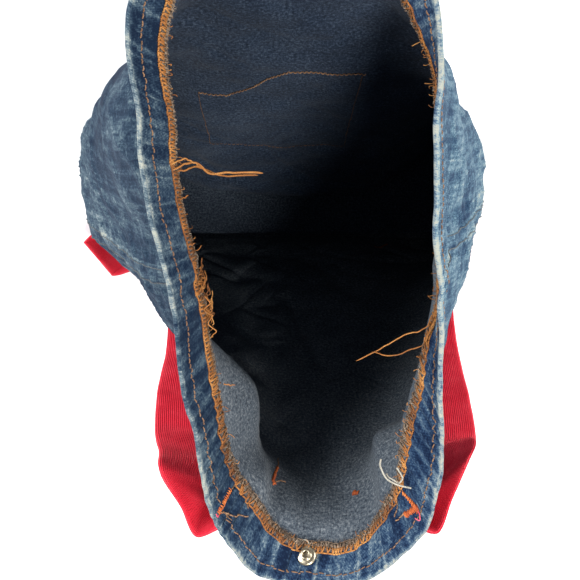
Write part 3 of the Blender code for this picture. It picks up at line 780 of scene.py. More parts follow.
# --------------------------------------------------------------------------------------
# The cloth shell: outer face, fold edge, turned-in hem face, raw edge, wrong side
# --------------------------------------------------------------------------------------
def shell_mesh():
    rows, slot_of, wear, vcoord, rawv = [], [], [], [], []
    R = len(D)

    def push(P, w, v, slot, r=0.0):
        rows.append(P)
        rawv.append(np.full(NU, r))
        wear.append(w)
        vcoord.append(v)
        slot_of.append(slot)

    # up the outside
    for r in range(R - 1, -1, -1):
        push(P_OUT[r], WEAR_AND_GROOVE_SHADE[r], TEX[r], 0)
    # over the fold
    rad = FACE / 2
    up = P_OUT[0] - P_OUT[1]
    up /= np.linalg.norm(up, axis=1)[:, None]
    for k in range(1, 8):
        a = math.pi * k / 8
        push(P_OUT[0] + up * (rad * 0.9 * math.sin(a)) + N_OUT[0] * (-rad + rad * math.cos(a)),
             WEAR_AND_GROOVE_SHADE[0] + 0.05, D[0] - 0.0004 * k, 1 if k > 3 else 0)
    # down the hem's face; its raw edge wavers
    for r in range(0, HEM_ROWS):
        thick = np.full(NU, FACE)
        if r > HEM_ROWS - 4:
            thick = thick - 0.0002 * (r - (HEM_ROWS - 4))
        push(P_OUT[r] - N_OUT[r] * thick[:, None], WEAR_AND_GROOVE_SHADE[r], TEX[r] + 0.003, 1,
             float(np.clip((D[r, 0] - 0.0195) / 0.0025, 0, 1)))
    # step back to the wall's wrong side and down to the base
    r0 = HEM_ROWS - 1
    push(P_OUT[r0] - N_OUT[r0] * (CLOTH + 0.0002), WEAR_AND_GROOVE_SHADE[r0], TEX[r0] + 0.0045, 2, 1.0)
    for r in range(HEM_ROWS, R):
        push(P_OUT[r] - N_OUT[r] * CLOTH, WEAR_AND_GROOVE_SHADE[r], TEX[r] + 0.0045, 2)
    n = len(rows)
    verts = np.stack(rows)
    verts[:, :, 2] = np.maximum(verts[:, :, 2], 0.0004)
    # one extra column repeats the first for the texture seam, at u = 0 under the front
    uvx = np.arange(NU + 1) / NU * GIRTH
    verts = np.concatenate((verts, verts[:, :1]), 1)
    w = np.stack(wear)
    w = np.concatenate((w, w[:, :1]), 1)
    global RAW_V
    RAW_V = np.stack(rawv).ravel()
    v = np.stack(vcoord)
    v = np.concatenate((v, v[:, :1]), 1)
    uv = np.stack((np.broadcast_to(uvx, v.shape), v), -1)
    c = NU + 1
    i = np.arange(n - 1)[:, None] * c
    k = np.arange(NU)[None]
    faces = np.stack((i + k, i + k + 1, i + c + k + 1, i + c + k), -1)
    slots = np.array(slot_of)[:-1]
    slots[1:] = np.maximum(slots[1:], slots[:-1])
    slots = np.repeat(np.array(slot_of[1:]), NU)
    # close the bottom edge between the last and first rows
    last = (n - 1) * c
    kk = np.arange(NU)
    closing = np.stack((last + kk, last + kk + 1, kk + 1, kk), -1)
    faces = np.concatenate((faces.reshape(-1, 4), closing))
    slots = np.concatenate((slots, np.full(NU, 2)))
    verts, faces, uv, w = merge_seam(verts.reshape(-1, 3), faces, uv.reshape(-1, 2), w.ravel(), n, c)
    return verts, faces, uv, slots, w


def merge_seam(verts, faces, uv, w, n, c):
    """Give the repeated column the first column's vertices, keeping loop UVs."""
    global _LOOP_UV
    _LOOP_UV = uv[faces.ravel()]
    remap = np.arange(n * c).reshape(n, c)
    remap[:, -1] = remap[:, 0]
    keep = np.ones((n, c), bool)
    keep[:, -1] = False
    new = np.cumsum(keep.ravel()) - 1
    f = new[remap.ravel()[faces]]
    return verts[keep.ravel()], f, None, w[keep.ravel()]


v_, f_, _, s_, w_ = shell_mesh()
# painted shade: the front wall's wrong side is painted darker and bluer, and the +X side of the outer denim is painted
# darker and greyer
def round_bag(low, high, centre, half, soft):
    x = np.clip((half + soft - np.abs(wrap(U - centre))) / soft, 0, 1)
    return np.tile(low + (high - low) * x * x * (3 - 2 * x), len(RAW_V) // NU)


# painted shade: the front wall's wrong side takes the darker, bluer ramp
BLUE_SHADE_V = round_bag(0.0, 1.0, 0.0, 0.155, 0.10)
# painted shade on the +X side of the outer denim: greyer and darker
SHADE_GREY_V = round_bag(0.05, 0.85, 0.25, 0.12, 0.16)
SHADE_DARK_V = round_bag(0.0, 1.0, 0.20, 0.13, 0.12)
cloth_shell = make_mesh("cloth_shell", v_, f_, None, s_, {"wear": w_, "raw": RAW_V,
                                                             "blue_shade": BLUE_SHADE_V, "shade_grey": SHADE_GREY_V,
                                                             "dark": SHADE_DARK_V},
                        (mat_out, mat_face, mat_in))
lay = cloth_shell.data.uv_layers.new(name="UVMap")
lay.data.foreach_set("uv", _LOOP_UV.astype(np.float32).ravel())
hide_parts("front_panel", "back_panel", "side_panel_left", "side_panel_right",
            "hem_front", "hem_back", "hem_left", "hem_right")
bend(cloth_shell)

# --------------------------------------------------------------------------------------
# Base: a sewn-in bottom with a piped edge
# --------------------------------------------------------------------------------------
def base_mesh():
    n = 360
    u = np.arange(n) / n
    edge = ring(0.0, u)
    ctr = np.array((0.0, 0.0, 0.0))
    rows, uvs, wears = [], [], []
    for f in (0.0, 0.25, 0.5, 0.7, 0.85, 0.94, 0.985, 0.993):      # upper face
        p = ctr + (edge - ctr) * max(f, 0.002)
        x, y = p[:, 0], p[:, 1]
        p[:, 2] = 0.0042 + 0.0008 * np.sin(x * 34 + 1.0) * np.cos(y * 40) - 0.0006 * f
        rows.append(p)
    for k in range(1, 8):                                          # rolled edge
        a = math.pi * k / 8
        p = edge * (0.993 + 0.006 * math.sin(a) / 1.0)
        p[:, 2] = 0.0019 + 0.0017 * math.cos(a)
        rows.append(p)
    for f in (0.985, 0.94, 0.7, 0.35, 0.002):                      # underside
        p = ctr + (edge - ctr) * f
        p[:, 2] = 0.0
        rows.append(p)
    verts = np.stack(rows)
    m = len(rows)
    i = np.arange(m - 1)[:, None] * n
    k = np.arange(n)[None]
    faces = np.stack((i + k, i + n + k, i + n + (k + 1) % n, i + (k + 1) % n), -1).reshape(-1, 4)
    flat = verts.reshape(-1, 3)
    slots = np.repeat(np.array([2] * 7 + [0] * (m - 1 - 7)), n)
    uv = flat[:, :2].copy()
    wear = np.repeat([0.0] * 8 + [0.1] * 7 + [0.0] * 5, n)
    return flat, faces[:, ::-1], uv, slots, wear


def put_attr(ob, name, value):
    a = ob.data.attributes.new(name, "FLOAT", "POINT")
    a.data.foreach_set("value", np.full(len(ob.data.vertices), value, np.float32))


bv, bf, buv, bs, bw = base_mesh()
base_cloth = make_mesh("base_cloth", bv, bf, buv, bs, {"wear": bw}, (mat_out, mat_face, mat_in))
# painted shade: the base's inside takes most of the darker, bluer ramp
put_attr(base_cloth, "blue_shade", 0.65)
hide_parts("base_panel")
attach(base_cloth, "shell")

# --------------------------------------------------------------------------------------
# Stitching on the hem
# --------------------------------------------------------------------------------------
rng = np.random.default_rng(77)


def stitch_row(tubes, path, pitch, radius, off, fill=0.80, tone=0.5, jitter=0.0):
    """Lockstitches along a list of (u, d): each one arches out and dives at its ends."""
    pts = []
    for u, d in path:
        pts.append(cloth(u, d, 0.0)[0])
    pts = np.array(pts)
    run = np.concatenate(([0], np.cumsum(np.linalg.norm(np.diff(pts, axis=0), axis=1))))
    uu = np.array([p[0] for p in path])
    dd = np.array([p[1] for p in path])
    s = 0.0
    sign = 1.0 if off >= 0 else -1.0
    while s + pitch < run[-1]:
        j = rng.uniform(-1, 1, 3) * jitter
        a, b = s + pitch * (1 - fill) / 2, s + pitch * (1 + fill) / 2
        line = []
        for t, lift in ((0, -1.3), (0.18, 0.35), (0.5, 1.0), (0.82, 0.35), (1, -1.3)):
            q = a + (b - a) * t
            u = np.interp(q, run, uu)
            d = np.interp(q, run, dd) + j[0] * 0.0003 + (t - 0.5) * j[1] * 0.0004
            line.append(cloth(u, d, off + sign * lift * radius)[0])
        tubes.add(line, radius, tone + 0.12 * j[2])
        s += pitch


def arc_path(u0, u1, d, n=200, wobble=0.0, seed=0):
    us = np.linspace(u0, u1, n)
    w = wobble * noise(us, us * 0, 40, 1, 500 + seed)
    return [(u, (d(u) if callable(d) else d) + float(k)) for u, k in zip(us, w)]


top_in, top_out = Tubes(6), Tubes(6)
stitch_row(top_in, arc_path(0.0, 1.0, STITCH_D, 900, 0.0004, 1), 0.0031, 0.00036,
           -(FACE + 0.00005), 0.78, 0.50, 1.0)
stitch_row(top_out, arc_path(0.0, 1.0, STITCH_D, 900, 0.0004, 2), 0.0031, 0.00036,
           0.00005, 0.78, 0.50, 1.0)
bend(top_in.build("topstitch_inside", mat_copper))
bend(top_out.build("topstitch_outside", mat_copper))

# The overlock binds the hem's raw edge: needle line, then loops across to the edge.
over, wool = Tubes(6), Tubes(6)
over_in, over_edge = 0.0192, HEM
n_over = 350
edge_shift = 0.0007 * noise(U, U * 0, 70, 1, 61)


def raw(u):
    """How far the raw edge wavers at u."""
    return float(np.interp((u % 1.0) * NU, np.arange(NU + 1), np.append(edge_shift, edge_shift[0])))


for k in range(n_over):
    u = k / n_over
    du = 1.0 / n_over
    j = rng.uniform(-1, 1, 6)
    w = raw(u)
    a = (u + 0.10 * du * j[0], over_in + 0.5 * w + 0.0004 * j[1])
    e = (u + du * (0.50 + 0.18 * j[2]), over_edge + 0.0003 + w * 0.4 + 0.00025 * j[3])
    z = (u + du * (1.0 + 0.1 * j[4]), over_in + 0.5 * w + 0.0004 * j[5])
    hi = -(FACE + 0.00035)
    lo = -(CLOTH + 0.00045)
    first = [cloth(a[0], a[1], -(FACE - 0.0001))[0],
             cloth(a[0] * 0.75 + e[0] * 0.25, a[1] * 0.75 + e[1] * 0.25, hi - 0.0001)[0],
             cloth(a[0] * 0.4 + e[0] * 0.6, a[1] * 0.4 + e[1] * 0.6, hi - 0.00015)[0],
             cloth(e[0], e[1] - 0.0004, hi)[0],
             cloth(e[0], e[1] + 0.0002, (hi + lo) / 2)[0],
             cloth(e[0], e[1], lo)[0]]
    back = [cloth(e[0], e[1] - 0.0001, hi - 0.0002)[0],
            cloth(e[0] * 0.6 + z[0] * 0.4, e[1] * 0.6 + z[1] * 0.4, hi - 0.0002)[0],
            cloth(e[0] * 0.2 + z[0] * 0.8, e[1] * 0.2 + z[1] * 0.8, hi - 0.0001)[0],
            cloth(z[0], z[1], -(FACE - 0.0001))[0]]
    tone = 0.42 + 0.28 * float(noise(np.array([u]), np.array([0.0]), 60, 1, 62)[0]) + 0.10 * j[0]
    # orange at the needle, bleached to tan where the loops reach the edge
    reach = 0.5 + 0.5 * float(noise(np.array([u]), np.array([0.0]), 26, 1, 63)[0])
    over.add(first[:3 + (reach > 0.62)], 0.00046, tone)
    wool.add(first[2:], [0.00038, 0.00040, 0.00038, 0.00030], 0.36 + 0.36 * j[1])
    (over if reach > 0.52 else wool).add(back[:3], 0.00036, tone - 0.06)
    over.add(back[1:], 0.00044, tone - 0.10)
    # the needle line, one straight stitch each
    over.add([cloth(u + 0.1 * du, over_in + 0.5 * w, -(FACE - 0.0001))[0],
              cloth(u + 0.3 * du, over_in + 0.5 * w, hi)[0],
              cloth(u + 0.7 * du, over_in + 0.5 * raw(u + du), hi)[0],
              cloth(u + 0.9 * du, over_in + 0.5 * raw(u + du), -(FACE - 0.0001))[0]],
             0.00052, tone + 0.04)
    # the looper thread that runs along the very edge
    (over if reach > 0.72 else wool).add([cloth(u - 0.1 * du, over_edge + 0.0004 + w * 0.4, (hi + lo) / 2 - 0.0001)[0],
              cloth(u + 0.5 * du, over_edge + 0.0007 + w * 0.4, (hi + lo) / 2)[0],
              cloth(u + 1.1 * du, over_edge + 0.0004 + raw(u + du) * 0.4, (hi + lo) / 2 - 0.0001)[0]],
             0.00026, tone - 0.05)
bend(over.build("overlock", mat_orange))
bend(wool.build("overlock_wool", mat_fray))

# fraying weft ends that poke out below the overlock
fray = Tubes(4)
for k in range(1500):
    u = rng.uniform(0, 1)
    j = rng.uniform(-1, 1, 4)
    ln = 0.0008 + 0.0022 * abs(j[0]) ** 2
    p0, n0 = cloth(u, over_edge - 0.0004, -(FACE - 0.0006))
    p1, _ = cloth(u + 0.0006 * j[1], over_edge + ln * 0.6, -(FACE - 0.0008 + 0.0004 * j[2]))
    p2, _ = cloth(u + 0.0018 * j[1], over_edge + ln, -(FACE - 0.0002 + 0.0011 * j[3]))
    fray.add([p0, p1, p2], [0.00010, 0.00009, 0.00005], 0.5 + 0.3 * j[2])
# and the fluff of cut cotton between the loops
for k in range(3400):
    u = rng.uniform(0, 1)
    j = rng.uniform(-1, 1, 6)
    d0 = 0.0213 + 0.0038 * abs(j[0]) + raw(u) * 0.4
    lift = FACE + 0.0004 + 0.0005 * abs(j[1])
    p0, _ = cloth(u, d0, -(FACE - 0.0002))
    p1, _ = cloth(u + 0.0009 * j[2], d0 + 0.0006 * j[3], -lift)
    p2, _ = cloth(u + 0.0020 * j[2] + 0.0006 * j[4], d0 + 0.0011 * j[3] + 0.0004, -(lift + 0.0004 * j[5]))
    fray.add([p0, p1, p2], [0.00015, 0.00013, 0.00006], 0.55 + 0.40 * j[5])
bend(fray.build("overlock_fray", mat_fray))

# --------------------------------------------------------------------------------------
# Straps
# --------------------------------------------------------------------------------------
STRAPS = {
    "right": (
        ((0.043, 0.146, 0.388), (0.024, 0.143, 0.361)),
        ((0.0500, 0.1545, 0.3800), (0.0330, 0.1490, 0.3580)),
        ((0.0612, 0.1400, 0.3670), (0.0440, 0.1440, 0.3545)),
        ((0.0735, 0.1270, 0.3560), (0.0470, 0.1410, 0.3500)),
        ((0.0775, 0.1215, 0.3470), (0.0480, 0.1370, 0.3420)),
        ((0.0795, 0.1240, 0.3320), (0.0460, 0.1390, 0.3240)),
        ((0.0860, 0.1400, 0.3000), (0.0490, 0.1480, 0.2900)),
        ((0.098, 0.154, 0.245), (0.061, 0.154, 0.242)),
        ((0.106, 0.151, 0.180), (0.068, 0.151, 0.178)),
        ((0.108, 0.143, 0.115), (0.071, 0.143, 0.108)),
        ((0.113, 0.124, 0.070), (0.080, 0.123, 0.052)),
        ((0.131, 0.1015, 0.045), (0.104, 0.099, 0.018)),
        ((0.147, 0.0890, 0.036), (0.127, 0.086, 0.007)),
    ),
    "left": (
        ((-0.089, 0.146, 0.388), (-0.070, 0.143, 0.361)),
        ((-0.0990, 0.1525, 0.3800), (-0.0790, 0.1490, 0.3570)),
        ((-0.1100, 0.1345, 0.3675), (-0.0910, 0.1400, 0.3550)),
        ((-0.1210, 0.1150, 0.3570), (-0.1030, 0.1290, 0.3500)),
        ((-0.1265, 0.1080, 0.3480), (-0.1075, 0.1235, 0.3420)),
        ((-0.1290, 0.1100, 0.3320), (-0.1070, 0.1265, 0.3240)),
        ((-0.1370, 0.1330, 0.3000), (-0.1070, 0.1450, 0.2900)),
        ((-0.152, 0.157, 0.250), (-0.114, 0.157, 0.245)),
        ((-0.160, 0.155, 0.190), (-0.122, 0.155, 0.187)),
        ((-0.163, 0.145, 0.130), (-0.126, 0.145, 0.124)),
        ((-0.166, 0.127, 0.080), (-0.132, 0.124, 0.063)),
        ((-0.170, 0.112, 0.052), (-0.142, 0.107, 0.026)),
        ((-0.178, 0.101, 0.038), (-0.156, 0.095, 0.010)),
    ),
}
TABS = {
    "right": (
        ((0.1700, 0.0960, 0.0300), (0.1480, 0.0850, 0.0042)),
        ((0.1745, 0.0935, 0.0300), (0.1540, 0.0830, 0.0040)),
        ((0.1860, 0.0785, 0.0300), (0.1660, 0.0745, 0.0040)),
        ((0.1962, 0.0640, 0.0300), (0.1770, 0.0660, 0.0040)),
        ((0.1968, 0.0610, 0.0300), (0.1790, 0.0640, 0.0045)),
        ((0.1860, 0.0510, 0.0300), (0.1740, 0.0595, 0.0055)),
    ),
    "left": (
        ((-0.1800, 0.0890, 0.0320), (-0.1600, 0.0850, 0.0052)),
        ((-0.1840, 0.0760, 0.0300), (-0.1680, 0.0740, 0.0042)),
        ((-0.1850, 0.0620, 0.0300), (-0.1720, 0.0650, 0.0040)),
        ((-0.1790, 0.0490, 0.0300), (-0.1700, 0.0595, 0.0055)),
    ),
}


def smooth_path(points, per):
    pts = np.asarray(points, float)
    out = []
    for i in range(len(pts) - 1):
        p0, p1 = pts[max(i - 1, 0)], pts[i]
        p2, p3 = pts[i + 1], pts[min(i + 2, len(pts) - 1)]
        for k in range(per):
            t = k / per
            out.append(0.5 * ((2 * p1) + (p2 - p0) * t + (2 * p0 - 5 * p1 + 4 * p2 - p3) * t * t
                              + (3 * p1 - p0 - 3 * p2 + p3) * t * t * t))
    out.append(pts[-1])
    return np.array(out)


def resample(path, n):
    seg = np.linalg.norm(np.diff(path, axis=0), axis=1)
    run = np.concatenate(([0], np.cumsum(seg)))
    want = np.linspace(0, run[-1], n)
    return np.stack([np.interp(want, run, path[:, a]) for a in range(3)], 1)


def ribbon(name, outer, inner, thick, v0, seed, curl=None, close=(True, True)):
    """A soft webbing band: rounded edges, thicker rolled sides, gentle ripples."""
    across = 19
    n = len(outer)
    mid = (outer + inner) / 2
    tan = np.gradient(mid, axis=0)
    tan /= np.linalg.norm(tan, axis=1)[:, None]
    wid = outer - inner
    width = np.linalg.norm(wid, axis=1)
    wn = wid / width[:, None]
    nrm = np.cross(tan, wn)
    nrm /= np.linalg.norm(nrm, axis=1)[:, None]
    run = v0 + np.concatenate(([0], np.cumsum(np.linalg.norm(np.diff(mid, axis=0), axis=1))))
    local = np.random.default_rng(seed)
    ph = local.uniform(0, 6.28, 6)
    f = np.linspace(-1, 1, across)
    ripple = (0.0007 * np.sin(run[:, None] * 55 + ph[0] + 1.2 * f[None])
              + 0.0005 * np.sin(run[:, None] * 130 + ph[1] - 2.0 * f[None])
              + 0.0006 * np.sin(run[:, None] * 28 + ph[2]) * f[None] ** 2)
    ease = np.clip(np.minimum(np.arange(n), np.arange(n)[::-1]) / 6.0, 0, 1)
    ripple = ripple * ease[:, None]
    if curl is not None:
        ripple = ripple + curl(run[:, None], f[None])
    half = thick / 2 * np.sqrt(np.maximum(1 - np.abs(f) ** 8, 0.04)) * (1 + 0.16 * np.exp(-((np.abs(f) - 0.90) / 0.07) ** 2))
    centre = mid[:, None] + wn[:, None] * (f[None, :, None] * width[:, None, None] / 2) \
        + nrm[:, None] * ripple[..., None]
    topv = centre + nrm[:, None] * half[None, :, None]
    botv = centre - nrm[:, None] * half[None, :, None]
    ringv = np.concatenate((topv, botv[:, ::-1]), 1)
    m = ringv.shape[1]
    wv = 0.0195 * f
    ux = np.concatenate((wv, 0.045 + wv[::-1]))
    wear = np.concatenate((np.abs(f) ** 6, np.abs(f[::-1]) ** 6)) * 0.35
    verts = ringv.reshape(-1, 3)
    uv = np.stack((np.broadcast_to(ux, (n, m)), np.broadcast_to(run[:, None], (n, m))), -1).reshape(-1, 2)
    i = np.arange(n - 1)[:, None] * m
    k = np.arange(m)[None]
    quads = np.stack((i + k, i + (k + 1) % m, i + m + (k + 1) % m, i + m + k), -1).reshape(-1, 4)
    caps = []
    for row, flip in ((0, True), (n - 1, False)):
        if not close[row > 0]:
            continue
        o = row * m
        for t in range(across - 1):
            q = (o + t, o + t + 1, o + m - 2 - t, o + m - 1 - t)
            caps.append(q if not flip else q[::-1])
    faces = np.concatenate((quads, np.array(caps).reshape(-1, 4)))
    # keep the outward side outward
    ob = make_mesh(name, verts, faces[:, ::-1], uv, None, {"wear": np.tile(wear, n)}, (mat_red,))
    return ob


def strap_set(side, spots):
    keys = STRAPS[side]
    tab = TABS[side]
    # sewn end, following the outside of the back hem
    so, si = [], []
    for (un, dn), (uf, df) in spots:
        so.append(cloth(un, dn, 0.0032)[0])
        si.append(cloth(uf, df, 0.0032)[0])
    outer = smooth_path([p for p in so] + [k[0] for k in keys[1:]] + [t[0] for t in tab], 10)
    inner = smooth_path([p for p in si] + [k[1] for k in keys[1:]] + [t[1] for t in tab], 10)
    # both edges are sampled at the same key numbers, so rows stay square to the band
    cut = (len(so) + 7) * 10 - 5
    n_up, n_lo = cut + 1, len(outer) - cut
    node = "strap_" + side
    low = (np.array(keys[-1][0]) + np.array(keys[-1][1])) / 2
    high = (np.array(keys[0][0]) + np.array(keys[0][1])) / 2

    def fine(path, n):
        idx = np.linspace(0, len(path) - 1, n)
        return np.stack([np.interp(idx, np.arange(len(path)), path[:, a]) for a in range(3)], 1)

    up_o, up_i = fine(outer[:cut + 1], 170), fine(inner[:cut + 1], 170)
    lo_o, lo_i = fine(outer[cut:], 130), fine(inner[cut:], 130)
    up = ribbon(node + "_upper", up_o, up_i, 0.0026, 0.0, 5 if side == "left" else 6,
                close=(True, False))
    length = float(np.sum(np.linalg.norm(np.diff((up_o + up_i) / 2, axis=0), axis=1)))
    lo = ribbon(node + "_lower", lo_o, lo_i, 0.0026, length, 7 if side == "left" else 8,
                close=(False, True))
    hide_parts(node, "strap_end_" + side)
    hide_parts(node, "corner_tab_" + side)
    d1 = (np.array(keys[6][0]) + np.array(keys[6][1])) / 2 - high
    d1 /= np.linalg.norm(d1)
    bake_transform(up)
    d2 = (np.array(keys[-3][0]) + np.array(keys[-3][1])) / 2 - low
    d2 /= np.linalg.norm(d2)
    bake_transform(lo)
    return up, lo


def depth_at(u, z):
    """Distance down the cloth from the fold edge to the height z."""
    k = int(round((u % 1.0) * NU)) % NU
    return float(np.interp(-z, -S[:, k, 2], D[:, k]))


def spots(*rows):
    return [((un, depth_at(un, zn)), (uf, depth_at(uf, zf))) for (un, zn), (uf, zf) in rows]


strap_set("right", spots(((0.462, 0.391), (0.472, 0.366)), ((0.445, 0.392), (0.452, 0.366)),
                         ((0.428, 0.393), (0.435, 0.365))))
strap_set("left", spots(((0.540, 0.391), (0.530, 0.366)), ((0.557, 0.392), (0.550, 0.366)),
                        ((0.574, 0.393), (0.567, 0.365))))

# --------------------------------------------------------------------------------------
# Press stud
# --------------------------------------------------------------------------------------
def lathe(name, profile, place, axis, steps=72, mat=None):
    """A turned piece: (radius, height) down the outside, closed at the axis."""
    prof = np.array(profile)
    zdir = np.asarray(axis, float) / np.linalg.norm(axis)
    xdir = np.cross(zdir, (0.0, 0.0, 1.0))
    xdir /= np.linalg.norm(xdir)
    ydir = np.cross(zdir, xdir)
    ang = np.arange(steps) * 2 * np.pi / steps
    circ = np.cos(ang)[:, None] * xdir + np.sin(ang)[:, None] * ydir
    verts = (np.asarray(place)[None, None] + prof[:, 1][:, None, None] * zdir
             + prof[:, 0][:, None, None] * circ[None])
    m = len(prof)
    i = np.arange(m - 1)[:, None] * steps
    k = np.arange(steps)[None]
    faces = np.stack((i + k, i + (k + 1) % steps, i + steps + (k + 1) % steps, i + steps + k), -1).reshape(-1, 4)
    uv = np.stack((np.tile(ang * 0.004, m), np.repeat(prof[:, 1], steps)), 1)
    return make_mesh(name, verts.reshape(-1, 3), faces, uv, None, None, (mat or mat_snap,))


def rounded(profile, r, n=4):
    """Round the corners of a lathe profile."""
    p = [np.array(q, float) for q in profile]
    out = [p[0]]
    for a, b, c in zip(p, p[1:], p[2:]):
        ab, cb = a - b, c - b
        la, lc = np.linalg.norm(ab), np.linalg.norm(cb)
        t = min(r, la * 0.45, lc * 0.45)
        s, e = b + ab / la * t, b + cb / lc * t
        for k in range(n + 1):
            f = k / n
            out.append((1 - f) ** 2 * s + 2 * f * (1 - f) * b + f ** 2 * e)
    out.append(p[-1])
    return out


def wall_frame(u, z, off):
    d = depth_at(u, z)
    return cloth(u, d, off)


E = 0.00002
stud_place, stud_n = wall_frame(0.492, 0.3885, -FACE)
stud = lathe("stud_post", rounded((
    (E, 0.0010), (0.0016, 0.0010), (0.0016, 0.0046), (0.0022, 0.0051), (0.0031, 0.0049),
    (0.0034, 0.0042), (0.0029, 0.0032), (0.0028, 0.0022), (0.0036, 0.0017), (0.0050, 0.0015),
    (0.0058, 0.0010), (0.0062, 0.0003), (0.0060, -0.0004), (E, -0.0004)), 0.00035), stud_place,
    -stud_n + np.array((-0.08, -0.22, 0.0)))
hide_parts("snap_stud")
bend(stud)
cap_place, cap_n = wall_frame(0.492, 0.3885, 0.0)
cap = lathe("stud_cap", rounded((
    (E, 0.0019), (0.0022, 0.0018), (0.0040, 0.0014), (0.0056, 0.0010), (0.0063, 0.0004),
    (0.0062, -0.0002), (E, -0.0002)), 0.0004), cap_place, cap_n)
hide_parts("snap_stud_cap")
bend(cap)
sock_place, sock_n = wall_frame(0.0, 0.3885, -FACE)
sock = lathe("socket_body", rounded((
    (E, 0.0006), (0.0022, 0.0006), (0.0025, 0.0030), (0.0030, 0.0034), (0.0042, 0.0033),
    (0.0054, 0.0026), (0.0058, 0.0014), (0.0063, 0.0008), (0.0062, -0.0002), (E, -0.0002)), 0.0004),
    sock_place, -sock_n)
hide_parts("snap_socket")
bend(sock)
scap_place, scap_n = wall_frame(0.0, 0.3885, 0.0)
scap = lathe("socket_cap", rounded((
    (E, 0.0019), (0.0022, 0.0018), (0.0040, 0.0014), (0.0056, 0.0010), (0.0063, 0.0004),
    (0.0062, -0.0002), (E, -0.0002)), 0.0004), scap_place, scap_n)
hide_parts("snap_socket_cap")
bend(scap)

# --------------------------------------------------------------------------------------
# Patch pocket on the outside of the front wall
# --------------------------------------------------------------------------------------
def pocket_mesh():
    nu, nv = 74, 76
    rows_o, rows_i, wear = [], [], []
    for r in range(nv):
        z = 0.267 - 0.150 * r / (nv - 1)
        ro, ri, wr = [], [], []
        for c in range(nu):
            f = -1 + 2 * c / (nu - 1)
            round_off = 0.0
            t = r / (nv - 1)
            if t > 0.86:                                  # the lower corners are clipped
                round_off = 0.16 * (t - 0.86) / 0.14
            girth = 0.862
            u = f * (0.073 * (1 - round_off)) / girth
            d = depth_at(u, z)
            edge = min(1.0, (1 - abs(f)) / 0.05, (1 - t) / 0.03 + 0.0)
            loose = 0.0026 * math.exp(-(t / 0.30) ** 2) * (1 - f * f)
            puff = (0.0008 * math.sin(f * 7 + z * 60) + 0.0006 * math.sin(z * 190 + f * 3)) * (1 - f * f)
            hemb = 0.0009 if t < 0.125 else 0.0
            off = 0.0002 + max(edge, 0) * 0.0004 + loose + max(puff, -0.0003)
            p, n = cloth(u, d, off)
            rise = 0.0012 * (0.4 + 0.6 * max(edge, 0)) + hemb
            ri.append(p)
            ro.append(p + n * rise)
            wr.append(0.8 * math.exp(-((1 - abs(f)) / 0.03)) + 0.9 * math.exp(-t / 0.015)
                      + 0.25 * math.exp(-((t - 0.125) / 0.012) ** 2) + 0.7 * math.exp(-(1 - t) / 0.02))
        rows_o.append(ro)
        rows_i.append(ri)
        wear.append(wr)
    vo, vi = np.array(rows_o), np.array(rows_i)
    w = np.array(wear).ravel()
    verts = np.concatenate((vo.reshape(-1, 3), vi.reshape(-1, 3)))
    N = nu * nv
    i = np.arange(nv - 1)[:, None] * nu
    k = np.arange(nu - 1)[None]
    q = np.stack((i + k, i + nu + k, i + nu + k + 1, i + k + 1), -1).reshape(-1, 4)
    fs = [q, (q + N)[:, ::-1]]
    kk = np.arange(nu - 1)
    ii = np.arange(nv - 1) * nu
    fs.append(np.stack((kk, kk + 1, kk + 1 + N, kk + N), -1))
    o = (nv - 1) * nu
    fs.append(np.stack((o + kk, o + kk + N, o + kk + 1 + N, o + kk + 1), -1))
    fs.append(np.stack((ii, ii + N, ii + nu + N, ii + nu), -1))
    o = nu - 1
    fs.append(np.stack((ii + o, ii + nu + o, ii + nu + o + N, ii + o + N), -1))
    x = np.tile(np.linspace(-0.073, 0.073, nu), nv)
    y = np.repeat(np.linspace(0, -0.150, nv), nu)
    uv = np.tile(np.stack((x + 0.3, y + 0.7), 1), (2, 1))
    return verts, np.concatenate(fs), uv, np.tile(w, 2)


pv, pf_, puv, pw = pocket_mesh()
pocket = make_mesh("patch_pocket", pv, pf_, puv, None, {"wear": pw}, (mat_pocket,))
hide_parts("front_pocket")
bend(pocket)

# --------------------------------------------------------------------------------------
# Bartacks, the pocket's stitching, seams and loose threads
# --------------------------------------------------------------------------------------
def along(points, n):
    p = np.array(points, float)
    t = np.linspace(0, len(p) - 1, n)
    return np.stack([np.interp(t, np.arange(len(p)), p[:, a]) for a in range(p.shape[1])], 1)


def bartack(tubes, a, b, width, off, pitch=0.00045, radius=0.00028, tone=0.5, swell=0.0):
    """A satin bar of zigzag stitches from one (u, d) to another."""
    a, b = np.array(a), np.array(b)
    k = np.array((GIRTH, 1.0))
    length = np.linalg.norm((b - a) * k)
    n = max(int(length / pitch), 3)
    side = np.array((-(b - a)[1] * k[1], (b - a)[0] * k[0])) / length
    prev = None
    sg = -1.0 if off < 0 else 1.0
    for i in range(n + 1):
        f = i / n
        j = rng.uniform(-1, 1, 3)
        w = width * (1 + swell * (1 - f) ** 2) * (0.5 + 0.12 * j[0])
        s = 1 if i % 2 else -1
        c = a + (b - a) * f
        e = c + side * s * w / k
        if prev is not None:
            m = (prev + e) / 2
            tubes.add([cloth(prev[0], prev[1], off - sg * radius)[0],
                       cloth(*(prev * 0.8 + e * 0.2), off + sg * radius * 0.7)[0],
                       cloth(m[0], m[1], off + sg * radius * 1.2)[0],
                       cloth(*(prev * 0.2 + e * 0.8), off + sg * radius * 0.7)[0],
                       cloth(e[0], e[1], off - sg * radius)[0]], radius, tone + 0.2 * j[1])
        prev = e


FO = -(FACE + 0.0003)
IO = -(CLOTH + 0.0003)
tack = Tubes(5)
# triangle that holds the strap end, photo-left side of the back hem
bartack(tack, (0.4092, 0.0030), (0.4066, 0.0150), 0.0020, FO, tone=0.55, swell=0.7)
bartack(tack, (0.4092, 0.0030), (0.4118, 0.0072), 0.0030, FO, tone=0.35)
